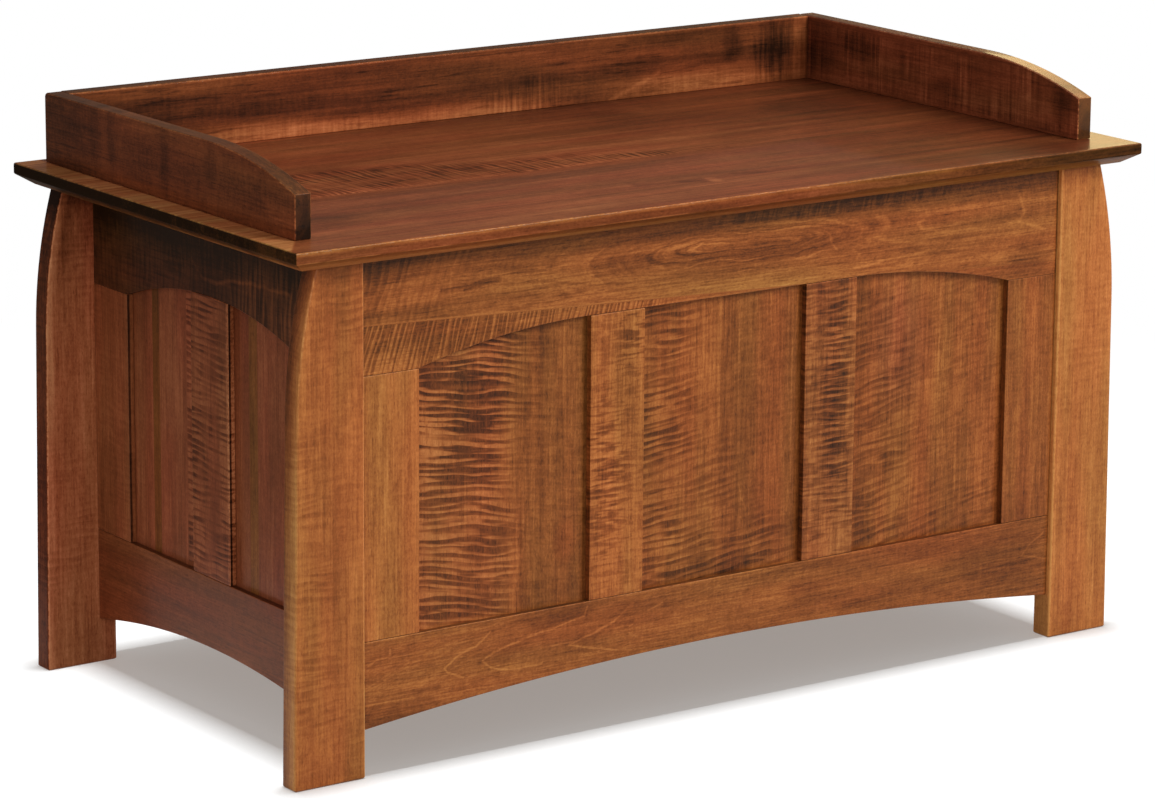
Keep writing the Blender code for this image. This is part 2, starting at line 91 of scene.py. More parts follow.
class Net:
    """Builder for one node tree."""

    def __init__(self, tree):
        self.tree = tree

    def put(self, socket, value):
        if isinstance(value, Val):
            self.tree.links.new(value.out, socket)
        else:
            socket.default_value = value

    def fill(self, node, inputs):
        """Fills a node's inputs, by name or number from a dict, or else in order."""
        for key, value in inputs.items() if isinstance(inputs, dict) else enumerate(inputs):
            self.put(node.inputs[key], value)
        return node

    def node(self, kind, inputs=(), **settings):
        made = self.tree.nodes.new(kind)
        for key, value in settings.items():
            setattr(made, key, value)
        return self.fill(made, inputs)

    def first(self, kind, inputs=(), **settings):
        """The first output of a new node."""
        return Val(self, self.node(kind, inputs, **settings).outputs[0])

    def math(self, operation, *values, clamp=False):
        return self.first("ShaderNodeMath", values, operation=operation, use_clamp=clamp)

    def most(self, value, *others):
        for other in others:
            value = self.math("MAXIMUM", value, other)
        return value

    def length(self, a, b):
        return self.math("SQRT", a * a + b * b)

    def vector(self, operation, a, b):
        return self.first("ShaderNodeVectorMath", (a, b), operation=operation)

    def split(self, vector):
        return [Val(self, out) for out in self.node("ShaderNodeSeparateXYZ", (vector,)).outputs]

    def join(self, x, y, z):
        return self.first("ShaderNodeCombineXYZ", (x, y, z))

    def coords(self, name):
        return Val(self, self.node("ShaderNodeTexCoord").outputs[name])

    def step(self, value, low, high, a=0.0, b=1.0):
        """a below low, b above high, smooth between; low may be the larger."""
        return self.first("ShaderNodeMapRange", (value, low, high, a, b), interpolation_type="SMOOTHSTEP")

    def noise(self, point, scale, detail=2.0, rough=0.5):
        """Noise from -0.5 to 0.5, with its own scale along each axis."""
        inputs = {"Vector": self.vector("MULTIPLY", point, scale), "Scale": 1.0, "Detail": detail,
                  "Roughness": rough}
        return self.first("ShaderNodeTexNoise", inputs) - 0.5

    def ramp(self, value, stops):
        """A colour for a value. A stop's colour may be one number, for a grey."""
        made = self.node("ShaderNodeValToRGB", (value,))
        ramp = made.color_ramp
        while len(ramp.elements) < len(stops):
            ramp.elements.new(0.5)
        for element, (place, colour) in zip(ramp.elements, stops):
            element.position = place
            element.color = (*colour, 1.0) if isinstance(colour, tuple) else (colour,) * 3 + (1.0,)
        return Val(self, made.outputs[0])

    def mix(self, factor, a, b, blend="MIX"):
        """Two colours mixed: a mix node has them at inputs 6 and 7 and its colour at output 2."""
        made = self.node("ShaderNodeMix", {0: factor, 6: a, 7: b}, data_type="RGBA", blend_type=blend)
        return Val(self, made.outputs[2])

    def tint(self, factor, colour, by):
        """A colour multiplied by another, as far as factor says."""
        return self.mix(factor, colour, self.mix(1.0, colour, (*by, 1.0), "MULTIPLY"))

    def bump(self, height, strength, distance):
        return self.first("ShaderNodeBump", {"Height": height, "Strength": strength, "Distance": distance})

    def surface(self, shader):
        self.node("ShaderNodeOutputMaterial", (shader,))


def blank_material(name):
    material = bpy.data.materials.new(name)
    material.use_nodes = True
    material.node_tree.nodes.clear()
    return material


def new_group(name, inputs, outputs, kind="ShaderNodeTree"):
    """A node group with sockets of the types given, its builder, and its inputs by name."""
    tree = bpy.data.node_groups.new(name, kind)
    for way, sockets in (("INPUT", inputs), ("OUTPUT", outputs)):
        for socket, what in sockets.items():
            tree.interface.new_socket(socket, in_out=way, socket_type="NodeSocket" + what)
    net = Net(tree)
    source = net.node("NodeGroupInput")
    return tree, net, {out.name: Val(net, out) for out in source.outputs if out.name}


# Wood

# Stain on maple, from where it soaks in most to the palest line
STAIN = [(0.00, (0.017, 0.0062, 0.0022)), (0.14, (0.052, 0.0160, 0.0046)),
         (0.28, (0.110, 0.0315, 0.0082)), (0.42, (0.192, 0.0535, 0.0125)),
         (0.56, (0.295, 0.0880, 0.0215)), (0.70, (0.425, 0.1430, 0.0360)),
         (0.85, (0.555, 0.2120, 0.0580)), (1.00, (0.700, 0.3150, 0.0900))]

# What a board may set, and what holds where it doesn't
WOOD_INPUTS = dict(Tone=0.5, Curl=0.0, Thick=0.0, Fine=0.2, Pitch=100.0, Slant=0.0, Depth=0.05,
                   Tilt=0.03, Bow=0.0, Slope=0.0, Spacing=0.006, Rings=0.1, Streak=0.30, Dash=0.2,
                   Grit=1.0, End=0.0, Wall=0.0, Edge=0.18, Red=0.0, Olive=0.0)


def maple_group():
    """Stained curly maple as a solid texture: X runs with the grain, Y across the face, Z in."""
    sockets = dict(P="Vector", R="Vector", **dict.fromkeys(WOOD_INPUTS, "Float"))
    tree, net, given = new_group("figured_maple", sockets, dict(Color="Color", Roughness="Float",
                                                                Height="Float"))
    for item in tree.interface.items_tree:
        if item.name in WOOD_INPUTS:
            item.default_value = WOOD_INPUTS[item.name]
    point = given["P"]
    px, py, pz = net.split(point)
    rx, ry, rz = net.split(given["R"])

    blotch = net.noise(point, (7, 17, 17), 2.5, 0.55)
    streak = net.noise(point, (2.4, 55, 55), 4.0, 0.6)
    fibre = net.noise(point, (14, 430, 430), 2.0, 0.6)
    mottle = net.noise(point, (75, 140, 140), 3.0, 0.65)
    fleck = net.noise(point, (330, 520, 520), 2.0, 0.6)
    hue = net.noise(point, (4, 26, 26), 1.5)

    # curl: long dashes across the grain, with pointed ends, that fork, merge and break off
    wander = net.noise(point, (12, 8, 8), 2.0)
    along = px + given["Slant"] * ry + wander * 0.010
    count = along * given["Pitch"]
    skew = net.join(count, py, pz)
    saw = net.ramp(net.math("FRACT", count + net.noise(skew, (0.30, 14, 14), 1.0) * 2.2),
                   [(0.0, 0.0), (0.12, 0.0), (0.40, 0.55), (0.68, 1.0), (0.88, 0.95), (1.0, 0.0)])
    dash = net.noise(skew, (1.35, 21, 21), 2.0, 0.5)
    merge = net.noise(skew, (0.14, 13, 13), 1.5)
    strand = net.noise(skew, (3.4, 34, 34), 1.0)
    ragged = fibre * 0.6 + fleck * 0.45 + strand * 0.6
    bands = saw * 0.66 + dash * 1.9 + merge * 1.3 + ragged + given["Thick"] - 0.30
    bands = net.step(bands, -0.20, 0.42)
    bands = bands * net.step(net.noise(skew, (0.8, 7, 7), 1.0), -0.25, 0.05, 0.45, 1.0)
    hatch = net.noise(net.join(along, py, pz), (215, 40, 40), 1.5, 0.6) + merge * 0.35
    hatch = net.step(hatch, -0.08, 0.12)

    # growth rings about a pith that runs under the face
    side = ry - given["Slope"] * rx + net.noise(point, (13, 30, 30), 3.0, 0.6) * 0.020
    down = given["Depth"] + given["Tilt"] * rx + given["Bow"] * rx * rx + rz
    ring = net.length(side, down) / given["Spacing"]
    rings = net.noise(net.join(ring, rx * 3.0, 0.0), (1.0, 1.0, 1.0), 2.5, 0.6)

    # pores, pale flecks and longer dark dashes, all with the grain
    pores = net.step(net.noise(point, (110, 620, 620), 1.0), 0.10, 0.22)
    pale = net.step(net.noise(point, (6, 250, 250), 1.5, 0.6), 0.12, 0.24)
    dashes = net.step(net.noise(point, (17, 210, 210), 2.0, 0.65) + blotch * 0.5, 0.09, 0.22)

    # arrises, lighter where the stain is rubbed thin and as a painted highlight, and end grain, where the
    # stain soaks in
    nx, ny, nz = net.split(net.coords("Normal"))
    wear_and_sheen = net.step(net.noise(point, (190, 190, 190), 2.0, 0.6), -0.12, 0.10, 0.25, 1.0)
    arris = net.step(net.most(abs(nx), abs(ny), abs(nz)), 0.955, 0.80) * wear_and_sheen
    end = net.step(given["End"], 0.5, 0.9)

    plain = 1.0 - end * 0.8
    tone = given["Tone"] + blotch * 0.25 + streak * given["Streak"]
    grit = fibre * 0.40 + mottle * 0.24 + fleck * 0.30 - pores * 0.10 + pale * 0.07
    tone = tone + grit * given["Grit"] - dashes * given["Dash"] * 0.30 + rings * given["Rings"]
    tone = tone - (bands - 0.25) * given["Curl"] * plain * 0.38
    tone = tone - (hatch - 0.3) * given["Fine"] * plain * 0.20
    # where a board sets it above 0, the last term darkens a face as painted shade; below 0 it lightens it
    # as painted light
    tone = tone + arris * given["Edge"] - end * 0.10 - given["Wall"] * 0.20 * (1.0 - arris)
    colour = net.ramp(tone, STAIN)
    cool = net.mix(1.0, colour, (0.93, 1.03, 1.0, 1.0), "MULTIPLY")
    fox = net.mix(1.0, colour, (1.05, 0.97, 1.0, 1.0), "MULTIPLY")
    colour = net.mix(net.step(hue, -0.22, 0.22), cool, fox)
    colour = net.tint(given["Red"], colour, (1.0, 0.88, 1.40))
    colour = net.tint(given["Olive"], colour, (0.86, 1.05, 1.0))
    rough = 0.40 + streak * 0.10 + bands * given["Curl"] * 0.04 - arris * 0.04
    height = fibre * 0.6 + streak * 0.25 - pores * 0.35
    net.node("NodeGroupOutput", {"Color": colour, "Roughness": rough, "Height": height})
    return tree


def gap_group():
    """Distance from a point to the straight line between two others."""
    sockets = dict(Point="Vector", Start="Vector", End="Vector")
    tree, net, given = new_group("gap_to_segment", sockets, dict(Gap="Float"))
    reach = net.vector("SUBTRACT", given["Point"], given["Start"])
    line = net.vector("SUBTRACT", given["End"], given["Start"])

    def measure(operation, *vectors):
        return Val(net, net.node("ShaderNodeVectorMath", vectors, operation=operation).outputs["Value"])

    share = net.math("DIVIDE", measure("DOT_PRODUCT", reach, line), measure("DOT_PRODUCT", line, line),
                     clamp=True)
    foot = net.vector("MULTIPLY", line, net.join(share, share, share))
    net.node("NodeGroupOutput", {"Gap": measure("LENGTH", net.vector("SUBTRACT", reach, foot))})
    return tree


MAPLE = maple_group()
GAP = gap_group()


class Board(Net):
    """The nodes of one board's material, with what its figure function may use and set."""

    def __init__(self, tree, face):
        super().__init__(tree)
        point = self.coords("Object")
        self.place = self.split(point)
        self.turn = self.split(self.coords("Normal"))
        self.x, self.y, self.z = self.place
        self.nx, self.ny, self.nz = self.turn
        self.across, self.up = (self.place[axis] for axis in (X, Y, Z) if axis != face)
        self.drift = self.noise(point, (13, 13, 13), 2.0)
        self.flat = None
        self.shift = None
        self.polished = None
        self.settings = {}

    def set(self, **settings):
        self.settings.update(settings)

    def patch(self, seed, fine_across, fine_up, detail=2.0, rough=0.5):
        """Noise over the face, with its own scale along each side."""
        place = self.join(self.across, self.up, seed)
        return self.noise(place, (fine_across, fine_up, 1), detail, rough)

    def blob(self, where, size, soft=1.0, wobble=0.6):
        """1 inside an ellipse at where on the face, falling to 0 outside it."""
        a = (self.across - where[0]) / size[0]
        b = (self.up - where[1]) / size[1]
        return self.step(self.length(a, b) + self.drift * wobble, 1.0 + soft * 0.5, 1.0 - soft * 0.5)

    def blobs(self, places, wobble=0.8):
        """The sum of soft ellipses, each given as place, place, half width, half height, weight."""
        return sum(self.blob((a, b), (c, d), 1.3, wobble) * weight for a, b, c, d, weight in places)

    def ripple(self, amount, fineness):
        """Lays the face flat, with a slight ripple, for strokes to be drawn on."""
        flat = self.join(self.across, self.up, 0.0)
        noise = self.node("ShaderNodeTexNoise", {"Vector": flat, "Scale": fineness, "Detail": 3.0})
        offset = self.vector("SUBTRACT", Val(self, noise.outputs["Color"]), (0.5, 0.5, 0.5))
        self.flat = self.vector("ADD", flat, self.vector("MULTIPLY", offset, (amount, amount, 0.0)))

    def stroke(self, points, width):
        """1 on a line through the points, 0 farther off than width; fainter here and there."""
        near = None
        for start, end in zip(points, points[1:]):
            gap = self.first("ShaderNodeGroup", (self.flat, (*start, 0.0), (*end, 0.0)), node_tree=GAP)
            near = gap if near is None else self.math("MINIMUM", near, gap)
        return self.step(near, width, 0.0) * self.step(self.drift, -0.16, 0.05, 0.35, 1.0)

    def strokes(self, lines):
        """The sum of strokes, each given as width, weight and then its points."""
        return sum(self.stroke(points, width) * weight for width, weight, *points in lines)

    def strips(self, bounds, values):
        """One value for each board of a glued-up panel, with the glue lines at bounds along Y."""
        total = values[0]
        for bound, before, after in zip(bounds, values, values[1:]):
            total = self.step(self.y, bound - 0.0004, bound + 0.0004) * (after - before) + total
        return total

    def painted_lid_shade(self, reach=0.022):
        """1 right under the lid, where the shade of its overhang is painted, falling to 0 some way below
        it.
        """
        return self.step(self.z + self.drift * 0.01, CASE_TOP - 0.0062 - reach, CASE_TOP - 0.0072)

    def rim(self, place, width):
        """1 on a fine line at either end of a front board, where x is place on both sides."""
        return self.step(abs(abs(self.x) - place), width, width * 0.4)

    def side_wall(self):
        """1 on the part of a side frame's inner edges that is nearest its face, where the side stiles get
        painted shade.
        """
        turned = self.step(abs(self.nx), 0.5, 0.2)
        return turned * self.step(self.x, SIDE_FACE + 0.0036, SIDE_FACE + 0.0022)

    def post_outer(self):
        """Distance in from the outer edge of a corner post."""
        rise = self.most(self.z - POST_CURVE_START, 0.0)
        lean = self.z * (POST_LEAN / POST_CURVE_START)
        return POST_OUTER - lean - rise * rise * (0.5 / POST_CURVE_R) - abs(self.x)


# Edges

ARRIS = 0.0009
ARRIS_ANGLE = 38
SHARP_ANGLE = 36
WELD_DISTANCE = 0.000005
GEOMETRY = dict(Geometry="Geometry")


def weld_group():
    """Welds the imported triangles, and drops the normals that came with them."""
    tree, net, given = new_group("weld_faces", GEOMETRY, GEOMETRY, "GeometryNodeTree")
    merge = {"Geometry": given["Geometry"], "Distance": WELD_DISTANCE}
    welded = net.first("GeometryNodeMergeByDistance", merge)
    bare = net.first("GeometryNodeRemoveAttribute", {"Geometry": welded, "Name": "custom_normal"})
    net.node("NodeGroupOutput", (bare,))
    return tree


def smooth_group():
    """Shades all faces smooth, and leaves the edges past an angle sharp."""
    tree, net, given = new_group("smooth_shallow", GEOMETRY, GEOMETRY, "GeometryNodeTree")
    faces = net.first("GeometryNodeSetShadeSmooth", (given["Geometry"],))
    angle = net.first("GeometryNodeInputMeshEdgeAngle")
    sharp = net.first("FunctionNodeCompare", (angle, math.radians(SHARP_ANGLE)))
    edges = {"Geometry": faces, "Selection": sharp, "Shade Smooth": False}
    net.node("NodeGroupOutput", (net.first("GeometryNodeSetShadeSmooth", edges, domain="EDGE"),))
    return tree


WELD = weld_group()
SMOOTH = smooth_group()


def ease(node, width):
    """Rounds the arrises of a board by width, unless it is 0, and keeps its faces' shading flat."""
    node.modifiers.new("weld", "NODES").node_group = WELD
    if width:
        bevel = node.modifiers.new("arris", "BEVEL")
        bevel.width = width
        bevel.segments = 3
        bevel.limit_method = "ANGLE"
        bevel.angle_limit = math.radians(ARRIS_ANGLE)
        bevel.use_clamp_overlap = False
        bevel.miter_outer = "MITER_SHARP"
    node.modifiers.new("smooth", "NODES").node_group = SMOOTH
    flatten = node.modifiers.new("flats", "WEIGHTED_NORMAL")
    flatten.mode = "FACE_AREA"
    flatten.weight = 100
    flatten.keep_sharp = True


# The figure of each board, in places on its face. Boards that face the front have x and z there,
# those that face a side y and z, and the lid x and y. A tone is a place on the scale of STAIN.

def top_rail_figure(b):
    glue = b.x * -0.0404 + 0.4423
    lower = b.step(b.z - glue, 0.0006, -0.0006)
    left = b.step(b.x + b.drift * 0.05, -0.03, -0.12)
    upper_left = b.step(b.x + b.drift * 0.2, -0.27, -0.38) * (1.0 - lower)
    right = b.step(b.x + b.drift * 0.1, 0.06, 0.20)
    comb = b.blob((0.16, 0.520), (0.17, 0.011), 0.6)
    b.shift = lower
    dark = b.blobs([(-0.415, 0.513, 0.045, 0.012, 1.0), (-0.437, 0.488, 0.014, 0.022, 0.8),
                    (-0.255, 0.503, 0.090, 0.007, 0.7), (0.408, 0.434, 0.026, 0.017, 1.0)])
    dark = dark + b.blob((-0.095, 0.487), (0.065, 0.008), 1.2, 1.6) * 0.9
    b.ripple(0.006, 70)
    wedge = b.strokes([
        (0.0034, 1.0, (-0.352, 0.4845), (-0.318, 0.4865), (-0.285, 0.4905)),
        (0.0026, 1.0, (-0.325, 0.4825), (-0.282, 0.4880)),
        (0.0022, 0.7, (-0.272, 0.482), (-0.226, 0.480), (-0.167, 0.469)),
        (0.0045, 0.5, (-0.285, 0.469), (-0.240, 0.467))])
    pale = b.strokes([
        (0.0035, 1.0, (0.097, 0.510), (0.139, 0.503), (0.158, 0.493), (0.184, 0.489)),
        (0.0056, 1.0, (0.196, 0.500), (0.213, 0.491), (0.199, 0.480), (0.184, 0.476)),
        (0.0035, 1.0, (0.199, 0.474), (0.239, 0.468), (0.282, 0.463), (0.276, 0.456)),
        (0.0027, 1.0, (0.276, 0.456), (0.233, 0.453), (0.166, 0.448)),
        (0.0032, 1.0, (0.238, 0.503), (0.261, 0.499), (0.263, 0.492), (0.252, 0.486), (0.259, 0.479),
         (0.288, 0.474), (0.345, 0.470)),
        (0.0036, 1.0, (0.376, 0.473), (0.391, 0.476), (0.399, 0.484), (0.390, 0.503)),
        (0.0029, 1.0, (0.391, 0.474), (0.429, 0.460)),
        (0.0032, 1.0, (0.165, 0.467), (0.173, 0.462), (0.169, 0.458)),
        (0.0029, 1.0, (0.134, 0.487), (0.136, 0.477), (0.143, 0.471))])
    seam = b.step(abs(b.z - glue - 0.001), 0.0014, 0.0) * left
    oval = b.blob((0.02, 0.488), (0.15, 0.024), 1.0)
    upper = b.step(b.z, 0.465, 0.485) * b.step(b.x, -0.25, -0.15)
    tone = 0.600 - upper * 0.022 - dark * 0.14 - wedge * 0.22 + pale * 0.12 + seam * 0.10
    # painted shade under the lid's overhang darkens the top of the rail and tints it olive
    tone = tone - right * 0.055 - oval * 0.04 - comb * 0.03 - b.painted_lid_shade() * (0.20 - right * 0.07)
    b.set(Tone=tone - b.rim(POST_INNER - 0.0003, 0.0019) * 0.34,
          Olive=(1.0 - lower) * (1.0 - right) * 0.35 + b.painted_lid_shade() * 0.3,
          Curl=lower * left * 0.70 + upper_left * 0.30,
          Thick=lower * b.step(b.x, -0.36, -0.46) * 0.15 + lower * 0.10,
          Slant=-0.27, Pitch=lower * 75.0 + 110.0, Rings=oval * 0.75 + 0.20, Fine=comb * 0.55 + 0.12,
          Dash=(1.0 - lower) * 0.45, Streak=(1.0 - lower) * 0.25 + 0.30)


def bottom_rail_figure(b):
    dark = b.blobs([(-0.105, 0.118, 0.045, 0.013, 0.7), (-0.415, 0.061, 0.045, 0.010, 0.8),
                    (0.106, 0.106, 0.020, 0.011, 1.0), (0.12, 0.132, 0.06, 0.005, 0.6),
                    (0.375, 0.098, 0.050, 0.024, 0.9)])
    dark = dark + b.blob((-0.215, 0.131), (0.052, 0.009), 0.8)
    light = b.blobs([(0.060, 0.104, 0.035, 0.007, 1.0), (0.255, 0.108, 0.035, 0.006, 0.7)])
    right = b.step(b.x + b.drift * 0.2, 0.0, 0.30)
    b.ripple(0.005, 60)
    arms = [
        [(-0.292, 0.126), (-0.311, 0.114), (-0.335, 0.106), (-0.348, 0.097), (-0.344, 0.091),
         (-0.326, 0.083)],
        [(-0.229, 0.116), (-0.264, 0.109), (-0.288, 0.104), (-0.302, 0.096), (-0.292, 0.088),
         (-0.270, 0.082), (-0.229, 0.082)],
        [(-0.115, 0.128), (-0.139, 0.112), (-0.169, 0.102), (-0.196, 0.096), (-0.160, 0.087),
         (-0.117, 0.078)],
        [(-0.078, 0.122), (-0.104, 0.114), (-0.124, 0.100), (-0.111, 0.090), (-0.093, 0.085)],
        [(-0.440, 0.114), (-0.429, 0.119), (-0.414, 0.120), (-0.414, 0.127)],
        [(-0.174, 0.133), (-0.177, 0.125), (-0.199, 0.120), (-0.229, 0.115)],
        [(0.439, 0.120), (0.419, 0.110), (0.409, 0.098), (0.444, 0.090)],
    ]
    pale = sum(b.stroke(arm, 0.0021) * 0.19 - b.stroke(arm, 0.012) * 0.045 for arm in arms)
    b.set(Tone=0.555 - dark * 0.12 + light * 0.06 + pale - right * 0.055, Rings=0.22, Dash=0.25)


def panel_1_figure(b):
    strong = b.step(b.x + b.drift * 0.06, -0.245, -0.285)
    weak = b.step(b.x + b.drift * 0.06, -0.195, -0.245) * b.step(b.z + b.drift * 0.1, 0.27, 0.33)
    heart = b.blobs([(-0.305, 0.350, 0.028, 0.060, 1.0), (-0.318, 0.158, 0.032, 0.013, 0.8),
                     (-0.290, 0.225, 0.020, 0.030, 0.5)])
    inner = b.step(b.x + b.drift * 0.04, -0.365, -0.315) * strong
    patchy = b.step(b.patch(0.7, 40, 34), -0.14, 0.14, 0.80, 1.05)
    olive = b.step(b.x + b.drift * 0.02, -0.262, -0.245)
    honey = b.blob((-0.272, 0.180), (0.020, 0.025), 0.8)
    right = b.step(b.x, -0.172, -0.166)
    ruddy = b.blob((-0.195, 0.205), (0.014, 0.022), 1.0)
    bands = b.noise(b.join(b.x, 0.3, b.z), (75, 1, 0.8), 2.0)
    b.ripple(0.004, 60)
    dark = b.strokes([
        (0.0018, 1.0, (-0.233, 0.232), (-0.222, 0.213), (-0.219, 0.196), (-0.224, 0.179)),
        (0.0018, 1.0, (-0.241, 0.208), (-0.229, 0.195), (-0.226, 0.180), (-0.220, 0.172)),
        (0.0025, 1.0, (-0.257, 0.246), (-0.242, 0.250), (-0.228, 0.254)),
        (0.0015, 1.0, (-0.198, 0.227), (-0.186, 0.230), (-0.168, 0.227))])
    tone = 0.603 - heart * 0.05 - olive * 0.110 + honey * 0.05 + right * 0.04 - ruddy * 0.04
    b.set(Tone=tone + bands * olive * 0.20 - dark * 0.07, Curl=strong * patchy + weak * 0.28,
          Thick=heart * 0.24 + inner * 0.09, Streak=0.20, Slant=0.15, Pitch=126.0, Rings=0.05,
          Olive=olive * 0.55 - ruddy * 0.5, Red=strong * 0.25, Fine=olive * 0.25 + 0.10)


def panel_2_figure(b):
    left = b.step(b.x + b.drift * 0.10, 0.012, -0.080)
    low = b.blob((0.0, 0.155), (0.10, 0.045), 1.2)
    patchy = b.step(b.patch(0.2, 26, 20), -0.14, 0.14, 0.25, 1.0)
    curl = b.most(left * 0.95, low * 0.75) * (patchy * 0.6 + 0.4)
    corner = b.blob((-0.100, 0.425), (0.035, 0.018), 1.2)
    corner = corner + b.blob((-0.108, 0.378), (0.010, 0.03), 1.2) * 0.8
    foot = b.blob((-0.01, 0.146), (0.07, 0.010), 1.2)
    smudge = b.blob((0.082, 0.176), (0.030, 0.010), 1.4, 1.4)
    band = b.step(b.x, -0.004, 0.004) * b.step(b.x, 0.045, 0.038)
    b.ripple(0.004, 60)
    pale = b.strokes([
        (0.0016, 1.0, (0.025, 0.232), (0.028, 0.218), (0.034, 0.206), (0.036, 0.179), (0.044, 0.158)),
        (0.0018, 1.0, (0.063, 0.435), (0.066, 0.377), (0.062, 0.342), (0.065, 0.323), (0.060, 0.305)),
        (0.0016, 1.0, (0.099, 0.426), (0.097, 0.385), (0.090, 0.355), (0.094, 0.329))])
    tone = 0.573 - corner * 0.10 - foot * 0.10 - smudge * 0.08 - band * 0.07 + pale * 0.08
    b.set(Tone=tone - b.step(b.x, 0.038, 0.045) * 0.055,
          Curl=b.most(curl, b.blob((0.0, 0.23), (0.03, 0.05), 1.2) * 0.45),
          Thick=b.step(b.x + b.drift * 0.05, -0.080, -0.112) * 0.15, Slant=-0.075, Pitch=118.0, Fine=0.30)


def panel_3_figure(b):
    low = b.blob((0.29, 0.15), (0.13, 0.035), 1.2)
    left = b.blob((0.20, 0.27), (0.05, 0.14), 1.2, 1.5)
    edge = b.blob((0.178, 0.430), (0.016, 0.022), 1.2)
    mid = b.blob((0.235, 0.36), (0.035, 0.06), 1.4)
    b.set(Tone=0.55 - low * 0.05 - edge * 0.10 - mid * 0.03, Red=mid * 0.5,
          Curl=low * 0.25 + left * 0.45 + b.step(b.drift, -0.05, 0.2) * 0.25,
          Slant=-0.14, Pitch=118.0, Fine=0.4)


def stile_2_figure(b):
    top = b.blob((-0.118, 0.41), (0.018, 0.035), 1.2)
    mid = b.blob((-0.152, 0.27), (0.026, 0.08), 1.2)
    b.set(Tone=0.645 - top * 0.03, Fine=top * 0.8 + mid * 0.8 + 0.55, Curl=mid * 0.35, Pitch=190.0)


def stile_3_figure(b):
    dark = b.blob((0.146, 0.335), (0.016, 0.075), 1.2, 1.2)
    dark = dark + b.blob((0.150, 0.22), (0.016, 0.04), 1.2, 1.2) * 0.6
    bands = b.noise(b.join(b.x, 0.3, b.z), (120, 1, 6), 2.0)
    b.set(Tone=0.575 - dark * 0.05 + bands * 0.24, Curl=dark * 0.62 + 0.32, Thick=dark * 0.18,
          Pitch=135.0, Fine=0.75, Red=0.25)


def stile_4_figure(b):
    height = b.z + b.drift * 0.06
    b.set(Tone=0.54 - (b.step(height, 0.37, 0.42) + b.step(height, 0.19, 0.14)) * 0.08)


def lid_edge_tone(b, face, under, left_end, nearer):
    """What the lid's moulded edge adds to its tone, and where its brow is, above the waist: a darker face,
    a painted highlight on the brow and along the left of the waist, and a painted reflection on the
    undercut.
    """
    streak = b.noise(b.join(b.x, 0.7, b.z), (30, 1, 60), 2.0)
    painted_waist_line = b.step(abs(b.z - LID_WAIST), 0.0011, 0.0004) * b.step(streak, -0.2, 0.1)
    brow = b.step(b.z, LID_WAIST + 0.0055, LID_WAIST + 0.0095) * (1.0 - left_end)
    deep = b.step(b.z, LID_WAIST - 0.002, LID_WAIST - 0.008)
    tone = painted_waist_line * (1.0 - left_end) * (0.22 - nearer * 0.40) + brow * (0.20 - nearer * 0.16)
    tone = face * (tone + under * (0.06 + deep * 0.24) - 0.09)
    return tone - face * (1.0 - under) * nearer * 0.04, brow


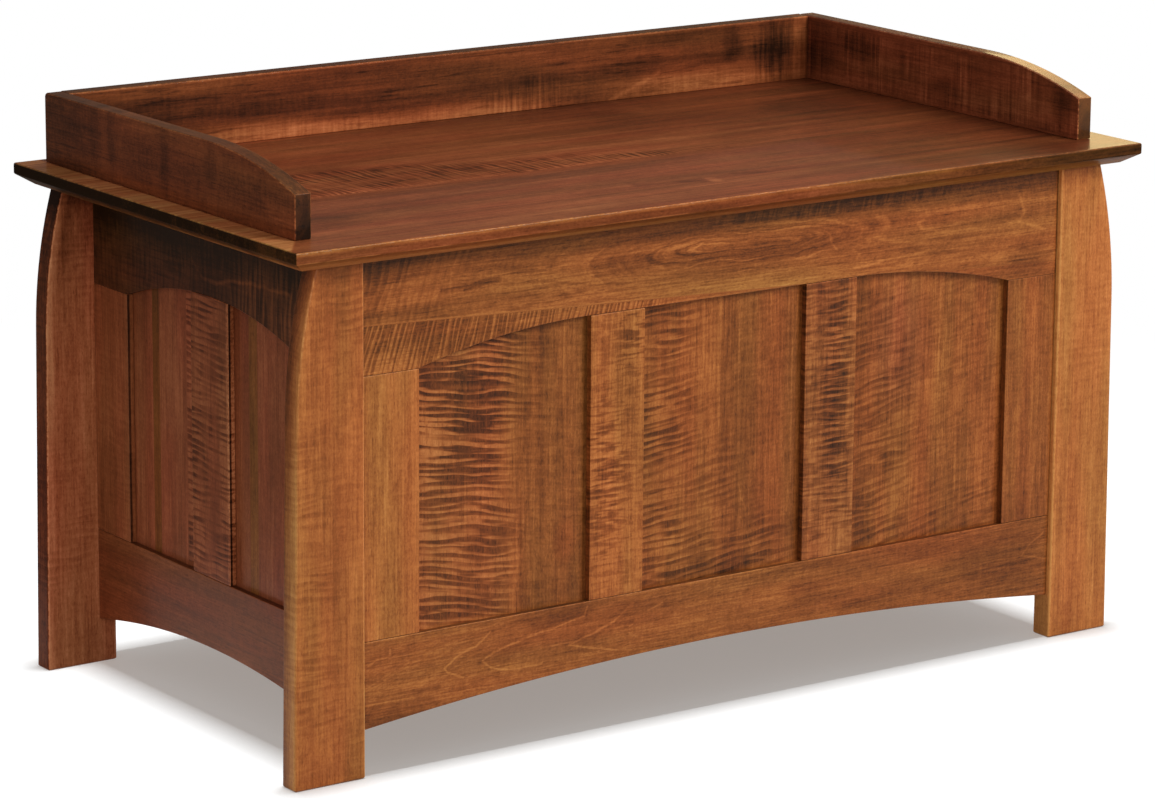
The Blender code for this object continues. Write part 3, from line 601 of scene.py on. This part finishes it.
def lid_figure(b):
    before = b.most(GALLERY_FRONT - b.y, 0.0)
    # the top left of the gallery is painted lighter, as painted light where the gallery's shadow falls on
    # it
    margin = b.step(b.x + before * 0.71, GALLERY_LEFT + 0.002, GALLERY_LEFT - 0.003)
    margin = margin * b.step(b.nz, 0.3, 0.6)
    streaks = b.patch(0.1, 9, 150)
    forward = b.step(b.y + b.drift * 0.1, 0.15, -0.25)
    far = b.step(b.x + b.y * 0.8 + b.drift * 0.2, -0.05, 0.35)
    face = b.step(b.nz, 0.6, 0.2)
    left_end = b.step(b.nx, -0.2, -0.45)
    under = b.step(b.nz, -0.3, -0.6)
    rightward = b.step(b.x + b.drift * 0.1, 0.05, 0.45) * face
    nearer = b.step(b.x + b.drift * 0.1, -0.04, 0.20)
    front = b.step(b.y, -0.17, -0.24) * b.step(b.x + b.drift * 0.1, -0.05, 0.25) * (1.0 - face)
    front = front * b.step(b.x, 0.52, 0.42, 0.4, 1.0)
    bounds = [-0.195, -0.056, 0.075, 0.175]
    b.shift = b.strips(bounds, [0.0, 1.0, 2.0, 3.0, 4.0])
    crest = 0.056 - (b.x + 0.30) * 0.22 + b.drift * 0.06
    feather = b.step(b.y - crest, 0.012, -0.012) * b.step(b.y, -0.060, -0.055)
    feather = feather * b.step(b.x + b.drift * 0.05, 0.24, 0.02, 0.0, 1.0) * b.step(b.x, -0.44, -0.34)
    clump = b.step(b.patch(0.9, 14, 34), -0.12, 0.12, 0.30, 1.0)
    clouds = b.blobs([(-0.29, 0.062, 0.040, 0.010, 1.0), (0.155, 0.160, 0.030, 0.035, 0.7),
                      (0.385, 0.085, 0.060, 0.055, 1.0), (-0.425, -0.160, 0.035, 0.030, 1.2),
                      (0.270, -0.195, 0.045, 0.010, 0.8)], 1.0)
    long = b.patch(0.4, 1.5, 62, 3.0, 0.62)
    b.ripple(0.006, 40)
    wedge = b.strokes([(0.012, 1.0, (-0.060, -0.178), (-0.020, -0.183), (0.008, -0.198)),
                       (0.008, 0.7, (0.060, -0.180), (0.095, -0.194))])
    knot = b.blob((0.022, -0.197), (0.007, 0.014), 0.8, 0.3)
    seam = b.step(abs(b.y + 0.054), 0.004, 0.0) * b.step(b.x, -0.05, -0.15)
    # the rounded top arris is tinted golden, a painted highlight
    soft = b.step(b.nz, 0.05, 0.3) * b.step(b.nz, 0.98, 0.90)
    edge, brow = lid_edge_tone(b, face, under, left_end, nearer)
    tone = b.strips(bounds, [0.055, 0.0, 0.03, 0.01, -0.03]) + 0.484 + long * 0.30 - clouds * 0.11
    tone = tone - wedge * 0.14 + knot * 0.14 + seam * 0.08 - far * 0.13 - front * 0.12
    tone = tone + margin * (0.37 - forward * 0.04 + streaks * 0.70) + edge
    red = 0.8 - margin * 0.35 - left_end * 0.8 - rightward * 0.5 - face * (under + brow) * 0.5
    # on the right of the edge, the face is darker and the undercut lighter, a painted reflection
    b.set(Tone=tone - rightward * (0.06 - under * 0.15) - left_end * (0.40 - forward * 0.20),
          Curl=feather * clump * (1.0 - face), Fine=0.10 - face * 0.06,
          Thick=b.step(b.y - crest, -0.035, -0.008) * 0.15, Pitch=124.0, Slant=0.05, Streak=0.33,
          # the top arris is lightened, as wear and a painted highlight, and the edge faces darkened with
          # painted shade
          Edge=b.step(b.nz, 0.1, 0.3) * (0.26 - nearer * 0.06), Grit=0.7, Wall=face * 0.15,
          Olive=face * 0.3 + left_end + rightward * 0.5 + soft * 0.3, Red=red - soft * 0.6)
    b.polished = b.step(b.nz, 0.0, 0.4)


def gallery_back_figure(b):
    flame = b.blobs([(-0.255, 0.5560, 0.110, 0.0120, 1.0), (-0.020, 0.5520, 0.170, 0.0110, 0.9),
                     (0.330, 0.5560, 0.110, 0.0140, 0.7)], 0.5)
    dark = b.blobs([(-0.385, 0.592, 0.070, 0.020, 0.9), (-0.245, 0.584, 0.110, 0.010, 1.0),
                    (-0.020, 0.583, 0.150, 0.008, 0.7), (0.235, 0.588, 0.050, 0.009, 0.6),
                    (0.378, 0.596, 0.012, 0.017, 0.8), (0.438, 0.588, 0.024, 0.026, 1.3),
                    (0.155, 0.555, 0.035, 0.010, 0.6)], 1.2)
    strokes = b.patch(0.2, 190, 9, 2.0, 0.6)
    comb = b.blob((0.095, 0.564), (0.055, 0.022), 1.0) * 0.9
    comb = comb + b.blob((0.450, 0.585), (0.035, 0.040), 1.0)
    b.ripple(0.004, 60)
    pale = b.stroke([(0.205, 0.549), (0.241, 0.561), (0.275, 0.575)], 0.0045)
    strip = b.step(b.x, 0.466, 0.470) * b.step(b.x, 0.487, 0.484)
    top = b.step(b.nz, 0.5, 0.8)
    lip = b.step(b.z, GALLERY_TOP - 0.0031, GALLERY_TOP - 0.0021)
    tone = 0.345 + flame * 0.33 - dark * 0.17 + strokes * (comb * 0.55 + flame * 0.35)
    tone = tone + pale * 0.12 + strip * 0.16 + lip * (1.0 - top) * 0.16 - top * 0.12
    b.set(Tone=tone, Curl=dark * 0.10 + comb * 0.2, Pitch=115.0, Fine=0.12, Dash=0.45, Streak=0.55,
          Grit=0.65, Edge=0.20, Olive=top)


def gallery_ends(b):
    """1 on the front end of a gallery side, and on its top edge; both are tinted olive, and the end gets
    painted shade that deepens towards its foot.
    """
    end = b.step(b.ny, -0.6, -0.9)
    top = b.step(b.nz, 0.5, 0.8)
    b.set(Wall=end * b.step(b.z, 0.60, 0.545, 0.4, 1.2), Olive=top + end)
    return end, top


def gallery_right_figure(b):
    end, top = gallery_ends(b)
    strokes = b.patch(0.6, 210, 8, 2.5, 0.6)
    clump = b.step(b.patch(0.2, 22, 12, 1.5), -0.10, 0.14, 0.15, 1.0)
    held = b.step(b.z, LID_TOP + 0.0005, LID_TOP + 0.0075) * clump
    held = held * b.step(b.z, GALLERY_TOP - 0.0048, GALLERY_TOP - 0.0093)
    dark = b.blobs([(0.155, 0.600, 0.030, 0.016, 1.0), (0.225, 0.585, 0.030, 0.030, 1.0),
                    (-0.005, 0.568, 0.030, 0.014, 0.7), (-0.205, 0.585, 0.017, 0.030, 1.1),
                    (0.072, 0.590, 0.006, 0.022, 0.6)], 1.0)
    seam = b.step(abs(b.z - (GALLERY_TOP - 0.0058)), 0.0012, 0.0)
    tone = 0.455 + strokes * held * 0.85 - dark * 0.19 - seam * 0.08 + end * 0.13
    # the top is lighter towards its curved front, a painted highlight, and darker behind it
    b.set(Tone=tone + top * (b.step(b.y, -0.08, -0.13) * 0.22 - 0.10), Fine=0.1, Red=1.0 - end,
          Edge=0.25 + b.step(b.ny, -0.3, -0.6) * 0.2, Grit=0.7 - end * 0.5)
    b.polished = b.most(end, b.step(b.nz, 0.3, 0.7))


def gallery_left_figure(b):
    end, top = gallery_ends(b)
    bars = b.blobs([(0.125, 0.600, 0.010, 0.040, 1.0), (0.160, 0.600, 0.010, 0.040, 0.8),
                    (0.018, 0.585, 0.009, 0.035, 0.8), (-0.073, 0.600, 0.009, 0.026, 0.8),
                    (-0.163, 0.575, 0.012, 0.014, 0.5)], 0.6)
    rear = b.step(b.y + b.drift * 0.1, 0.12, 0.20)
    b.set(Tone=0.375 - bars * 0.11 - rear * 0.12 - top * 0.04, Rings=0.25, Dash=0.3, Edge=0.25,
          Grit=0.8 - end * 0.6)


def side_top_figure(b):
    light = b.blob((-0.13, 0.455), (0.09, 0.04), 1.0)
    b.ripple(0.006, 60)
    swoosh = b.stroke([(0.042, 0.483), (0.028, 0.470), (0.015, 0.463), (-0.011, 0.463),
                       (-0.038, 0.470), (-0.080, 0.474), (-0.151, 0.476)], 0.0035)
    foot = b.step(b.z, 0.505, 0.44)
    deep = b.blob((0.03, 0.45), (0.11, 0.05), 1.2)
    tone = light * 0.15 + 0.165 + foot * 0.07 + swoosh * 0.16 - deep * 0.06
    # painted shade under the lid's overhang darkens the top of the rail
    b.set(Tone=tone - b.painted_lid_shade(0.08) * 0.12, Curl=light * 0.4 + 0.20, Pitch=120.0, Fine=0.3,
          Grit=0.5, Olive=1.0 - foot * 0.5, Red=foot * 0.8)


def side_panel_1_figure(b):
    bounds = [0.065, 0.1195, 0.1335]
    b.shift = b.strips(bounds, [0.0, 1.0, 2.0, 3.0])
    olive = b.strips(bounds, [0.0, 0.0, 1.0, 0.0])
    # darker towards the top, as painted shade below the lid's overhang
    b.set(Tone=b.strips(bounds, [0.56, 0.60, 0.47, 0.56]) - b.step(b.z, 0.34, 0.45) * 0.11,
          Olive=olive * 0.45, Red=1.0 - olive, Curl=b.step(b.y, 0.066, 0.062) * 0.75, Slant=-0.03,
          Pitch=135.0)


def side_panel_2_figure(b):
    bounds = [-0.076, -0.060]
    b.shift = b.strips(bounds, [0.0, 1.0, 2.0])
    olive = b.strips(bounds, [0.0, 1.0, 0.0])
    tone = b.strips(bounds, [0.575, 0.50, 0.545]) + b.patch(0.3, 30, 9) * 0.14
    # darker towards the top, as painted shade below the lid's overhang
    b.set(Tone=tone - b.step(b.z, 0.34, 0.45) * 0.09, Olive=olive * 0.7, Red=1.0 - olive)


def side_stile_figure(tone, curl):
    def figure(b):
        clump = b.step(b.patch(0.5, 34, 11), -0.12, 0.14, 0.25, 1.0)
        # darker towards the top, as painted shade below the lid's overhang, and painted shade on the inner
        # edges nearest the face
        b.set(Tone=tone + b.patch(0.3, 30, 9) * 0.12 - b.step(b.z, 0.33, 0.46) * 0.10,
              Curl=clump * curl, Slant=-0.03, Pitch=140.0, Wall=b.side_wall() * 2.0, Red=0.9, Olive=0.3)
    return figure


def side_middle_stile_figure(b):
    side_stile_figure(0.553, 0.95)(b)
    speckle = b.noise(b.join(b.x, b.y, b.z), (400, 400, 400), 2.0)
    line = b.step(b.y, -0.0275, -0.0300) * b.step(speckle, -0.16, 0.12, 0.2, 1.0)
    b.set(Tone=b.settings["Tone"] + line * (1.0 - b.side_wall()) * 0.26)


def post_figure(tone, curl, fine, shaded=0.0):
    def figure(b):
        front = b.step(b.ny, -0.5, -0.8)
        inner = b.step(abs(b.x), POST_INNER + 0.008, POST_INNER + 0.002)
        painted_highlight = b.step(b.post_outer(), 0.012, 0.004)
        rim = b.rim(POST_INNER + 0.0012, 0.0016)
        # painted shade under the lid; painted highlights on a fine line and a band by the inner arris, and
        # along the outer arris of the front face
        b.set(Tone=tone - b.painted_lid_shade() * 0.12 + rim * 0.12 + front * (inner * 0.04 + painted_highlight * 0.05),
              Curl=b.step(b.drift, -0.08, 0.12) * curl, Fine=fine, Pitch=118.0,
              # the side facing left: painted shade where shaded is above 0, painted light where it is
              # below 0
              Wall=b.step(b.nx, -0.5, -0.9, 0.0, shaded))
    return figure


def near_post_figure(b):
    post_figure(0.608, 0.28, 0.25)(b)
    # painted light and shade on the side facing left: lighter towards its front arris, darker towards its
    # rear and towards the top
    shaded = b.step(b.y, -0.234, -0.257, 0.30, -1.7) + b.step(b.z, 0.30, 0.45) * 1.1
    b.set(Wall=b.step(b.nx, -0.4, -0.9) * shaded)


def rear_post_figure(b):
    post_figure(0.725, 0.25, 0.15, 1.9)(b)
    # a painted highlight along the outer arris of the front face, and painted shade from the lid towards
    # the top; post_figure paints shade on the outer side
    painted_highlight = b.step(b.post_outer(), 0.013, 0.004)
    front = b.step(b.ny, -0.5, -0.8) * (painted_highlight * 0.16 + b.patch(0.3, 60, 6) * 0.14)
    top = b.step(b.z + b.drift * 0.05, 0.40, 0.50) * (0.20 - painted_highlight * 0.08)
    top = top + b.step(b.z + b.drift * 0.02, 0.48, 0.525) * 0.26
    b.set(Tone=b.settings["Tone"] + front - top, Red=1.0)


FIGURES = {
    "front_top_rail": top_rail_figure, "front_bottom_rail": bottom_rail_figure,
    "front_panel_1": panel_1_figure, "front_panel_2": panel_2_figure, "front_panel_3": panel_3_figure,
    "front_stile_2": stile_2_figure, "front_stile_3": stile_3_figure, "front_stile_4": stile_4_figure,
    "lid_panel": lid_figure, "gallery_back": gallery_back_figure,
    "gallery_left": gallery_left_figure, "gallery_right": gallery_right_figure,
    "left_top_rail": side_top_figure,
    "left_panel_1": side_panel_1_figure, "left_panel_2": side_panel_2_figure,
    "left_stile_1": side_stile_figure(0.57, 0.12), "left_stile_2": side_middle_stile_figure,
    "left_stile_3": side_stile_figure(0.54, 0.10),
    "post_front_left": near_post_figure,
    # painted light on the right post's side facing left
    "post_front_right": post_figure(0.705, 0.10, 0.20, -0.9),
    "post_rear_left": rear_post_figure,
}
NUMBERS = {
    "front_top_rail": dict(middle=(0.02, 0.488), Depth=0.010, Tilt=0.0, Bow=0.8, Spacing=0.0024),
    "front_bottom_rail": dict(middle=(-0.12, 0.098), Depth=0.056, Tilt=-0.10, Slope=0.12, Spacing=0.0014),
    "front_stile_1": dict(Tone=0.677, Streak=0.32, Fine=0.15),
    "post_front_left": dict(Grit=0.8),
    "front_panel_1": dict(middle=(0.235, -0.215), Depth=0.03, Bow=2.0, Spacing=0.005),
}


# The boards

def axes_of(name):
    """Grain and face axes of a board, from its name."""
    if name.startswith("post"):
        return Z, Y
    if name in ("lid_panel", "bottom_board"):
        return X, Z
    at_side = name.startswith(("left", "right")) or name.endswith(("left", "right"))
    along, face = (Y, X) if at_side else (X, Y)
    return (Z, face) if "stile" in name or "panel" in name else (along, face)


def wood(name, seed, coat=0.06, coat_rough=0.16, specular=0.10, middle=None, **numbers):
    """Gives one board its maple. middle is where the pith lies, along the grain and across it."""
    along, face = axes_of(name)
    across = X + Y + Z - along - face
    low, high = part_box(name)
    centre = (low + high) / 2
    material = blank_material(name + "_maple")
    board = Board(material.node_tree, face)
    board.set(**numbers)
    # painted shade on a board's edge faces, those turned away from its face
    if name.startswith(("front", "left", "right", "back")):
        board.set(Wall=board.step(abs(board.turn[face]), 0.5, 0.2))
    if name in FIGURES:
        FIGURES[name](board)
    point = board.join(board.place[along], board.place[across], board.place[face])
    start = middle or (centre[along], centre[across])
    rings = board.vector("SUBTRACT", point, (*start, centre[face]))
    spot = board.vector("ADD", point, (seed * 1.37 + 0.31, seed * 2.11 + 0.77, seed * 0.93 + 0.13))
    if board.shift is not None:
        shift = board.join(board.shift * 0.71, board.shift * 0.37, board.shift * 0.53)
        spot = board.vector("ADD", spot, shift)
    inputs = {"P": spot, "R": rings, "End": abs(board.turn[along]), **board.settings}
    maple = board.node("ShaderNodeGroup", inputs, node_tree=MAPLE)
    colour, rough, height = (Val(board, maple.outputs[key]) for key in ("Color", "Roughness", "Height"))
    board.surface(board.first("ShaderNodeBsdfPrincipled", {
        "Base Color": colour, "Roughness": rough, "Normal": board.bump(height, 0.18, 0.0006),
        "Specular IOR Level": specular, "Coat Roughness": coat_rough,
        "Coat Weight": coat if board.polished is None else board.polished * coat}))
    cover(NODES[name], material)


def cover(node, material):
    for slot in node.material_slots:
        slot.material = material


def dress_boards():
    for number, name in enumerate(sorted(NODES)):
        if name.startswith("hinge"):
            continue
        finish = {}
        numbers = dict(Tone=0.56)
        if name.startswith(("lid", "gallery")):
            numbers = dict(Tone=0.42, Red=0.6)
            finish = dict(coat=0.18 if name in ("lid_panel", "gallery_right") else 0.06, coat_rough=0.07,
                          specular=0.02 if name == "lid_panel" else 0.06)
        elif name.startswith("left"):
            numbers = dict(Tone=0.47, Red=0.8, Fine=0.10, Grit=0.75)
        elif name == "post_rear_left":
            finish = dict(coat=0.0, specular=0.04)
        numbers.update(NUMBERS.get(name, {}))
        wood(name, number, **finish, **numbers)
        ease(NODES[name], 0.0 if name.startswith("post") else ARRIS)


# The hinges. Their screws sit in the leaf, clear of the knuckles, and stand out by a third of
# the gap between the leaves.

HINGE_PITCH = (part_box("hinge_3_pin")[0].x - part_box("hinge_1_pin")[0].x) / 2
SCREW_PITCH = 0.026
SCREW_R = 0.0032
SCREW_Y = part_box("hinge_2_case_leaf")[0].y + 0.0065
SCREW_CROWN = (LID_UNDER - CASE_TOP) / 3
SCREW_RINGS = [(SCREW_R, -SCREW_CROWN * 2), (SCREW_R, SCREW_CROWN * 0.3),
               (SCREW_R * 0.85, SCREW_CROWN * 0.75), (SCREW_R * 0.5, SCREW_CROWN)]
SLOT_HALF = SCREW_R * 0.13
ARC_STEPS = 14
BRASS_STOPS = [(0.3, (0.11, 0.070, 0.028)), (0.5, (0.26, 0.170, 0.068)), (0.7, (0.40, 0.280, 0.130))]
SCREW_STOPS = [(0.3, (0.16, 0.105, 0.045)), (0.7, (0.42, 0.310, 0.160))]


def brass(name, stops, drilled=False):
    """Aged brass. A drilled leaf has painted shade, dark round and under the heads of its screws."""
    material = bpy.data.materials.new(name)
    material.use_nodes = True
    net = Net(material.node_tree)
    point = net.coords("Object")
    tarnish = net.noise(point, (160, 160, 160), 4.0, 0.6)
    brushed = net.noise(point, (30, 900, 900), 2.0)
    colour = net.ramp(tarnish + 0.5, stops)
    height = brushed * 0.15
    if drilled:
        x, y, z = net.split(point)
        from_hinge = nearest(net, x, HINGE_PITCH)
        gap = net.length(nearest(net, from_hinge, SCREW_PITCH), y - SCREW_Y)
        held = net.step(abs(net.split(net.coords("Normal"))[Z]), 0.8, 0.9)
        held = held * net.step(abs(from_hinge), SCREW_PITCH * 1.5, SCREW_PITCH * 1.4)
        # painted shade in the countersink round each screw head
        countersink_shade = net.step(gap, SCREW_R + 0.0003, SCREW_R + 0.0001) * held
        colour = net.mix(countersink_shade, colour, (0.030, 0.020, 0.010, 1.0))
        height = height - countersink_shade
    net.fill(material.node_tree.nodes["Principled BSDF"], {
        "Base Color": colour, "Roughness": 0.32 + tarnish * 0.25 + brushed * 0.1, "Metallic": 1.0,
        "Normal": net.bump(height, 0.5, 0.0003)})
    return material


def nearest(net, value, pitch):
    """Distance along x from the nearest of a row of places."""
    return (net.math("FRACT", value / pitch + 0.5) - 0.5) * pitch


def half_head(mesh, centre, up, side):
    """One half of a screw head beside its slot, crowned a little out of the leaf."""
    loops = []
    for radius, height in SCREW_RINGS:
        limit = math.acos(SLOT_HALF / radius)
        loop = []
        for number in range(ARC_STEPS + 1):
            angle = limit * (2 * number / ARC_STEPS - 1)
            spot = Vector((radius * math.sin(angle), side * radius * math.cos(angle), up * height))
            loop.append(mesh.verts.new(centre + spot))
        loops.append(loop)
    for outer, inner in zip(loops, loops[1:]):
        for number in range(ARC_STEPS):
            mesh.faces.new((outer[number], outer[number + 1], inner[number + 1], inner[number]))
    mesh.faces.new(loops[0])
    mesh.faces.new(loops[-1])
    mesh.faces.new([loop[0] for loop in loops] + [loop[-1] for loop in reversed(loops)])


def add_mesh(name, mesh, material):
    """An object in the scene from a finished bmesh."""
    data = bpy.data.meshes.new(name)
    mesh.to_mesh(data)
    mesh.free()
    data.materials.append(material)
    made = bpy.data.objects.new(name, data)
    SCENE.collection.objects.link(made)
    return made


def screw_heads(hinge, body, face, up, material):
    """The three screws of one leaf. up is 1 or -1, the way the heads face."""
    low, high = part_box(f"{hinge}_{body}_leaf")
    mesh = bmesh.new()
    for number in (-1, 0, 1):
        centre = Vector(((low.x + high.x) / 2 + number * SCREW_PITCH, SCREW_Y, face))
        for side in (-1, 1):
            half_head(mesh, centre, up, side)
    bmesh.ops.recalc_face_normals(mesh, faces=mesh.faces)
    screws = add_mesh(f"{hinge}_{body}_screws", mesh, material)
    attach(screws, body)


def dress_hinges():
    leaf_brass = brass("aged_brass", BRASS_STOPS, True)
    screw_brass = brass("screw_brass", SCREW_STOPS)
    for name, node in NODES.items():
        if name.startswith("hinge"):
            cover(node, leaf_brass)
    for hinge in ("hinge_1", "hinge_2", "hinge_3"):
        screw_heads(hinge, "case", CASE_TOP, 1, screw_brass)
        screw_heads(hinge, "lid", LID_UNDER, -1, screw_brass)


dress_boards()
dress_hinges()


# Camera, as solved from the edges of the chest in the photo

EYE = (-2.8634, -4.0430, 1.4693)
YAW, PITCH, ROLL = (math.radians(angle) for angle in (35.219, -13.531, 0.425))
SENSOR = 36.0           # in millimetres, as the lens
LENS = 147.15


def make_camera():
    level = math.cos(PITCH)
    ahead = Vector((math.sin(YAW) * level, math.cos(YAW) * level, math.sin(PITCH)))
    right = Vector((math.cos(YAW), -math.sin(YAW), 0.0))
    up = right.cross(ahead)
    rolled_right = math.cos(ROLL) * right + math.sin(ROLL) * up
    rolled_up = math.cos(ROLL) * up - math.sin(ROLL) * right
    turn = Matrix((rolled_right, rolled_up, -ahead)).transposed()
    data = bpy.data.cameras.new("camera")
    data.sensor_width = SENSOR
    data.lens = LENS
    data.clip_end = 60.0
    camera = bpy.data.objects.new("camera", data)
    camera.matrix_world = Matrix.Translation(EYE) @ turn.to_4x4()
    SCENE.collection.objects.link(camera)
    SCENE.camera = camera


make_camera()


# Stage and light

FLAG_STEPS = 24


def stage_plane(name, width, depth, place, material):
    mesh = bmesh.new()
    corners = [(-0.5, -0.5), (0.5, -0.5), (0.5, 0.5), (-0.5, 0.5)]
    mesh.faces.new([mesh.verts.new((x * width, y * depth, 0)) for x, y in corners])
    plane = add_mesh(name, mesh, material)
    plane.location = place
    return plane


def shown_rays(net):
    """1 for the rays that should see the white background."""
    path = net.node("ShaderNodeLightPath")
    rays = [Val(net, path.outputs[f"Is {kind} Ray"]) for kind in ("Camera", "Glossy", "Transmission")]
    return net.most(*rays)


def make_floor():
    """White with the chest's shadow where it is seen, and dull to the light that bounces off it."""
    material = blank_material("white_floor")
    net = Net(material.node_tree)
    x, y, z = net.split(net.coords("Object"))
    away = net.step(net.length(x, y), 0.95, 1.8)
    lit = net.first("ShaderNodeBsdfDiffuse", {"Color": (0.66, 0.70, 0.72, 1.0)})
    lift = net.first("ShaderNodeEmission", {"Color": (0.325, 0.295, 0.273, 1.0)})
    near = net.first("ShaderNodeAddShader", (lit, lift))
    white = net.first("ShaderNodeEmission", {"Color": (1, 1, 1, 1)})
    seen = net.first("ShaderNodeMixShader", (away, near, white))
    dull = net.first("ShaderNodeBsdfDiffuse", {"Color": (0.30, 0.28, 0.26, 1.0)})
    net.surface(net.first("ShaderNodeMixShader", (shown_rays(net), dull, seen)))
    return stage_plane("floor", 16.0, 16.0, (0, 0, 0), material)


def make_world():
    world = bpy.data.worlds.new("studio")
    world.use_nodes = True
    net = Net(world.node_tree)
    strength = net.step(shown_rays(net), 0.0, 1.0, 0.26, 1.0)
    net.fill(world.node_tree.nodes["Background"], {"Color": (1, 1, 1, 1), "Strength": strength})
    SCENE.world = world


def area(name, place, toward, size, power, colour=(1, 1, 1)):
    data = bpy.data.lights.new(name, "AREA")
    data.shape = "RECTANGLE"
    data.size, data.size_y = size
    data.energy = power
    data.color = colour
    lamp = bpy.data.objects.new(name, data)
    lamp.location = place
    lamp.rotation_euler = (Vector(toward) - Vector(place)).to_track_quat("-Z", "Y").to_euler()
    SCENE.collection.objects.link(lamp)
    return lamp


def link_light(lamp, thing, state):
    """Lights only one thing, with the state INCLUDE, or everything but it, with EXCLUDE."""
    lit = bpy.data.collections.new(lamp.name + "_lit")
    lit.objects.link(thing)
    lit.collection_objects[0].light_linking.link_state = state
    lamp.light_linking.receiver_collection = lit


def make_lamps(floor):
    """Three lamps on the chest, and one overhead that draws the shadow of the case on the floor."""
    middle = (0.0, 0.0, 0.30)
    for lamp in (area("key", (1.70, -3.20, 2.95), middle, (2.2, 1.8), 142, (1.0, 0.98, 0.95)),
                 area("fill", (-2.7, -3.2, 1.3), middle, (2.4, 2.0), 42, (1.0, 0.98, 0.96)),
                 area("glint", (3.95, 2.40, 2.5), (0.5, -0.1, 0.55), (2.0, 3.0), 60, (1.0, 0.76, 0.32))):
        link_light(lamp, floor, "EXCLUDE")
    overhead = area("overhead", (0.0, 0.0, 12.0), (0, 0, 0), (1.1, 1.1), 1500)
    link_light(overhead, floor, "INCLUDE")
    casters = bpy.data.collections.new("overhead_blockers")
    for name, node in NODES.items():
        if not name.startswith(("lid", "gallery", "hinge")):
            casters.objects.link(node)
    overhead.light_linking.blocker_collection = casters


def for_gloss_only(screen):
    for kind in ("camera", "diffuse", "shadow", "transmission", "volume_scatter"):
        setattr(screen, "visible_" + kind, False)


def glow(name, colour, strength=1.0):
    material = blank_material(name)
    net = Net(material.node_tree)
    net.surface(net.first("ShaderNodeEmission", {"Color": (*colour, 1.0), "Strength": strength}))
    return material


def flag(name, start, end, radius, height, cloth):
    """A curved dark screen on the floor, from one bearing to another, that only gloss sees."""
    mesh = bmesh.new()
    low, high = [], []
    for number in range(FLAG_STEPS + 1):
        bearing = math.radians(start + (end - start) * number / FLAG_STEPS)
        for row, z in ((low, 0.0), (high, height)):
            row.append(mesh.verts.new((radius * math.sin(bearing), radius * math.cos(bearing), z)))
    for number in range(FLAG_STEPS):
        mesh.faces.new((low[number], low[number + 1], high[number + 1], high[number]))
    screen = add_mesh(name, mesh, cloth)
    for_gloss_only(screen)


def card(name, place, size, colour, strength):
    """An upright card to the right of the lid that only gloss sees, facing left."""
    plane = stage_plane(name, *size, place, glow(name, colour, strength))
    plane.rotation_euler = (math.radians(90), 0.0, math.radians(-90))
    for_gloss_only(plane)


make_lamps(make_floor())
make_world()
card("end_card", (0.62, 0.09, 0.5975), (0.68, 0.065), (1.0, 0.76, 0.36), 5.2)
card("curve_card", (0.55, -0.105, 0.670), (0.21, 0.060), (1.0, 0.78, 0.38), 5.0)
BACK_CLOTH = glow("back_cloth", (0.20, 0.165, 0.15))
SIDE_CLOTH = glow("side_cloth", (0.28, 0.21, 0.175))
flag("flag_back", -80, 85, 6.0, 7.0, BACK_CLOTH)
flag("flag_left", -85, -5, 1.5, 1.3, SIDE_CLOTH)
flag("flag_low", -95, 20, 0.85, 0.50, SIDE_CLOTH)

SCENE.view_settings.view_transform = "Standard"
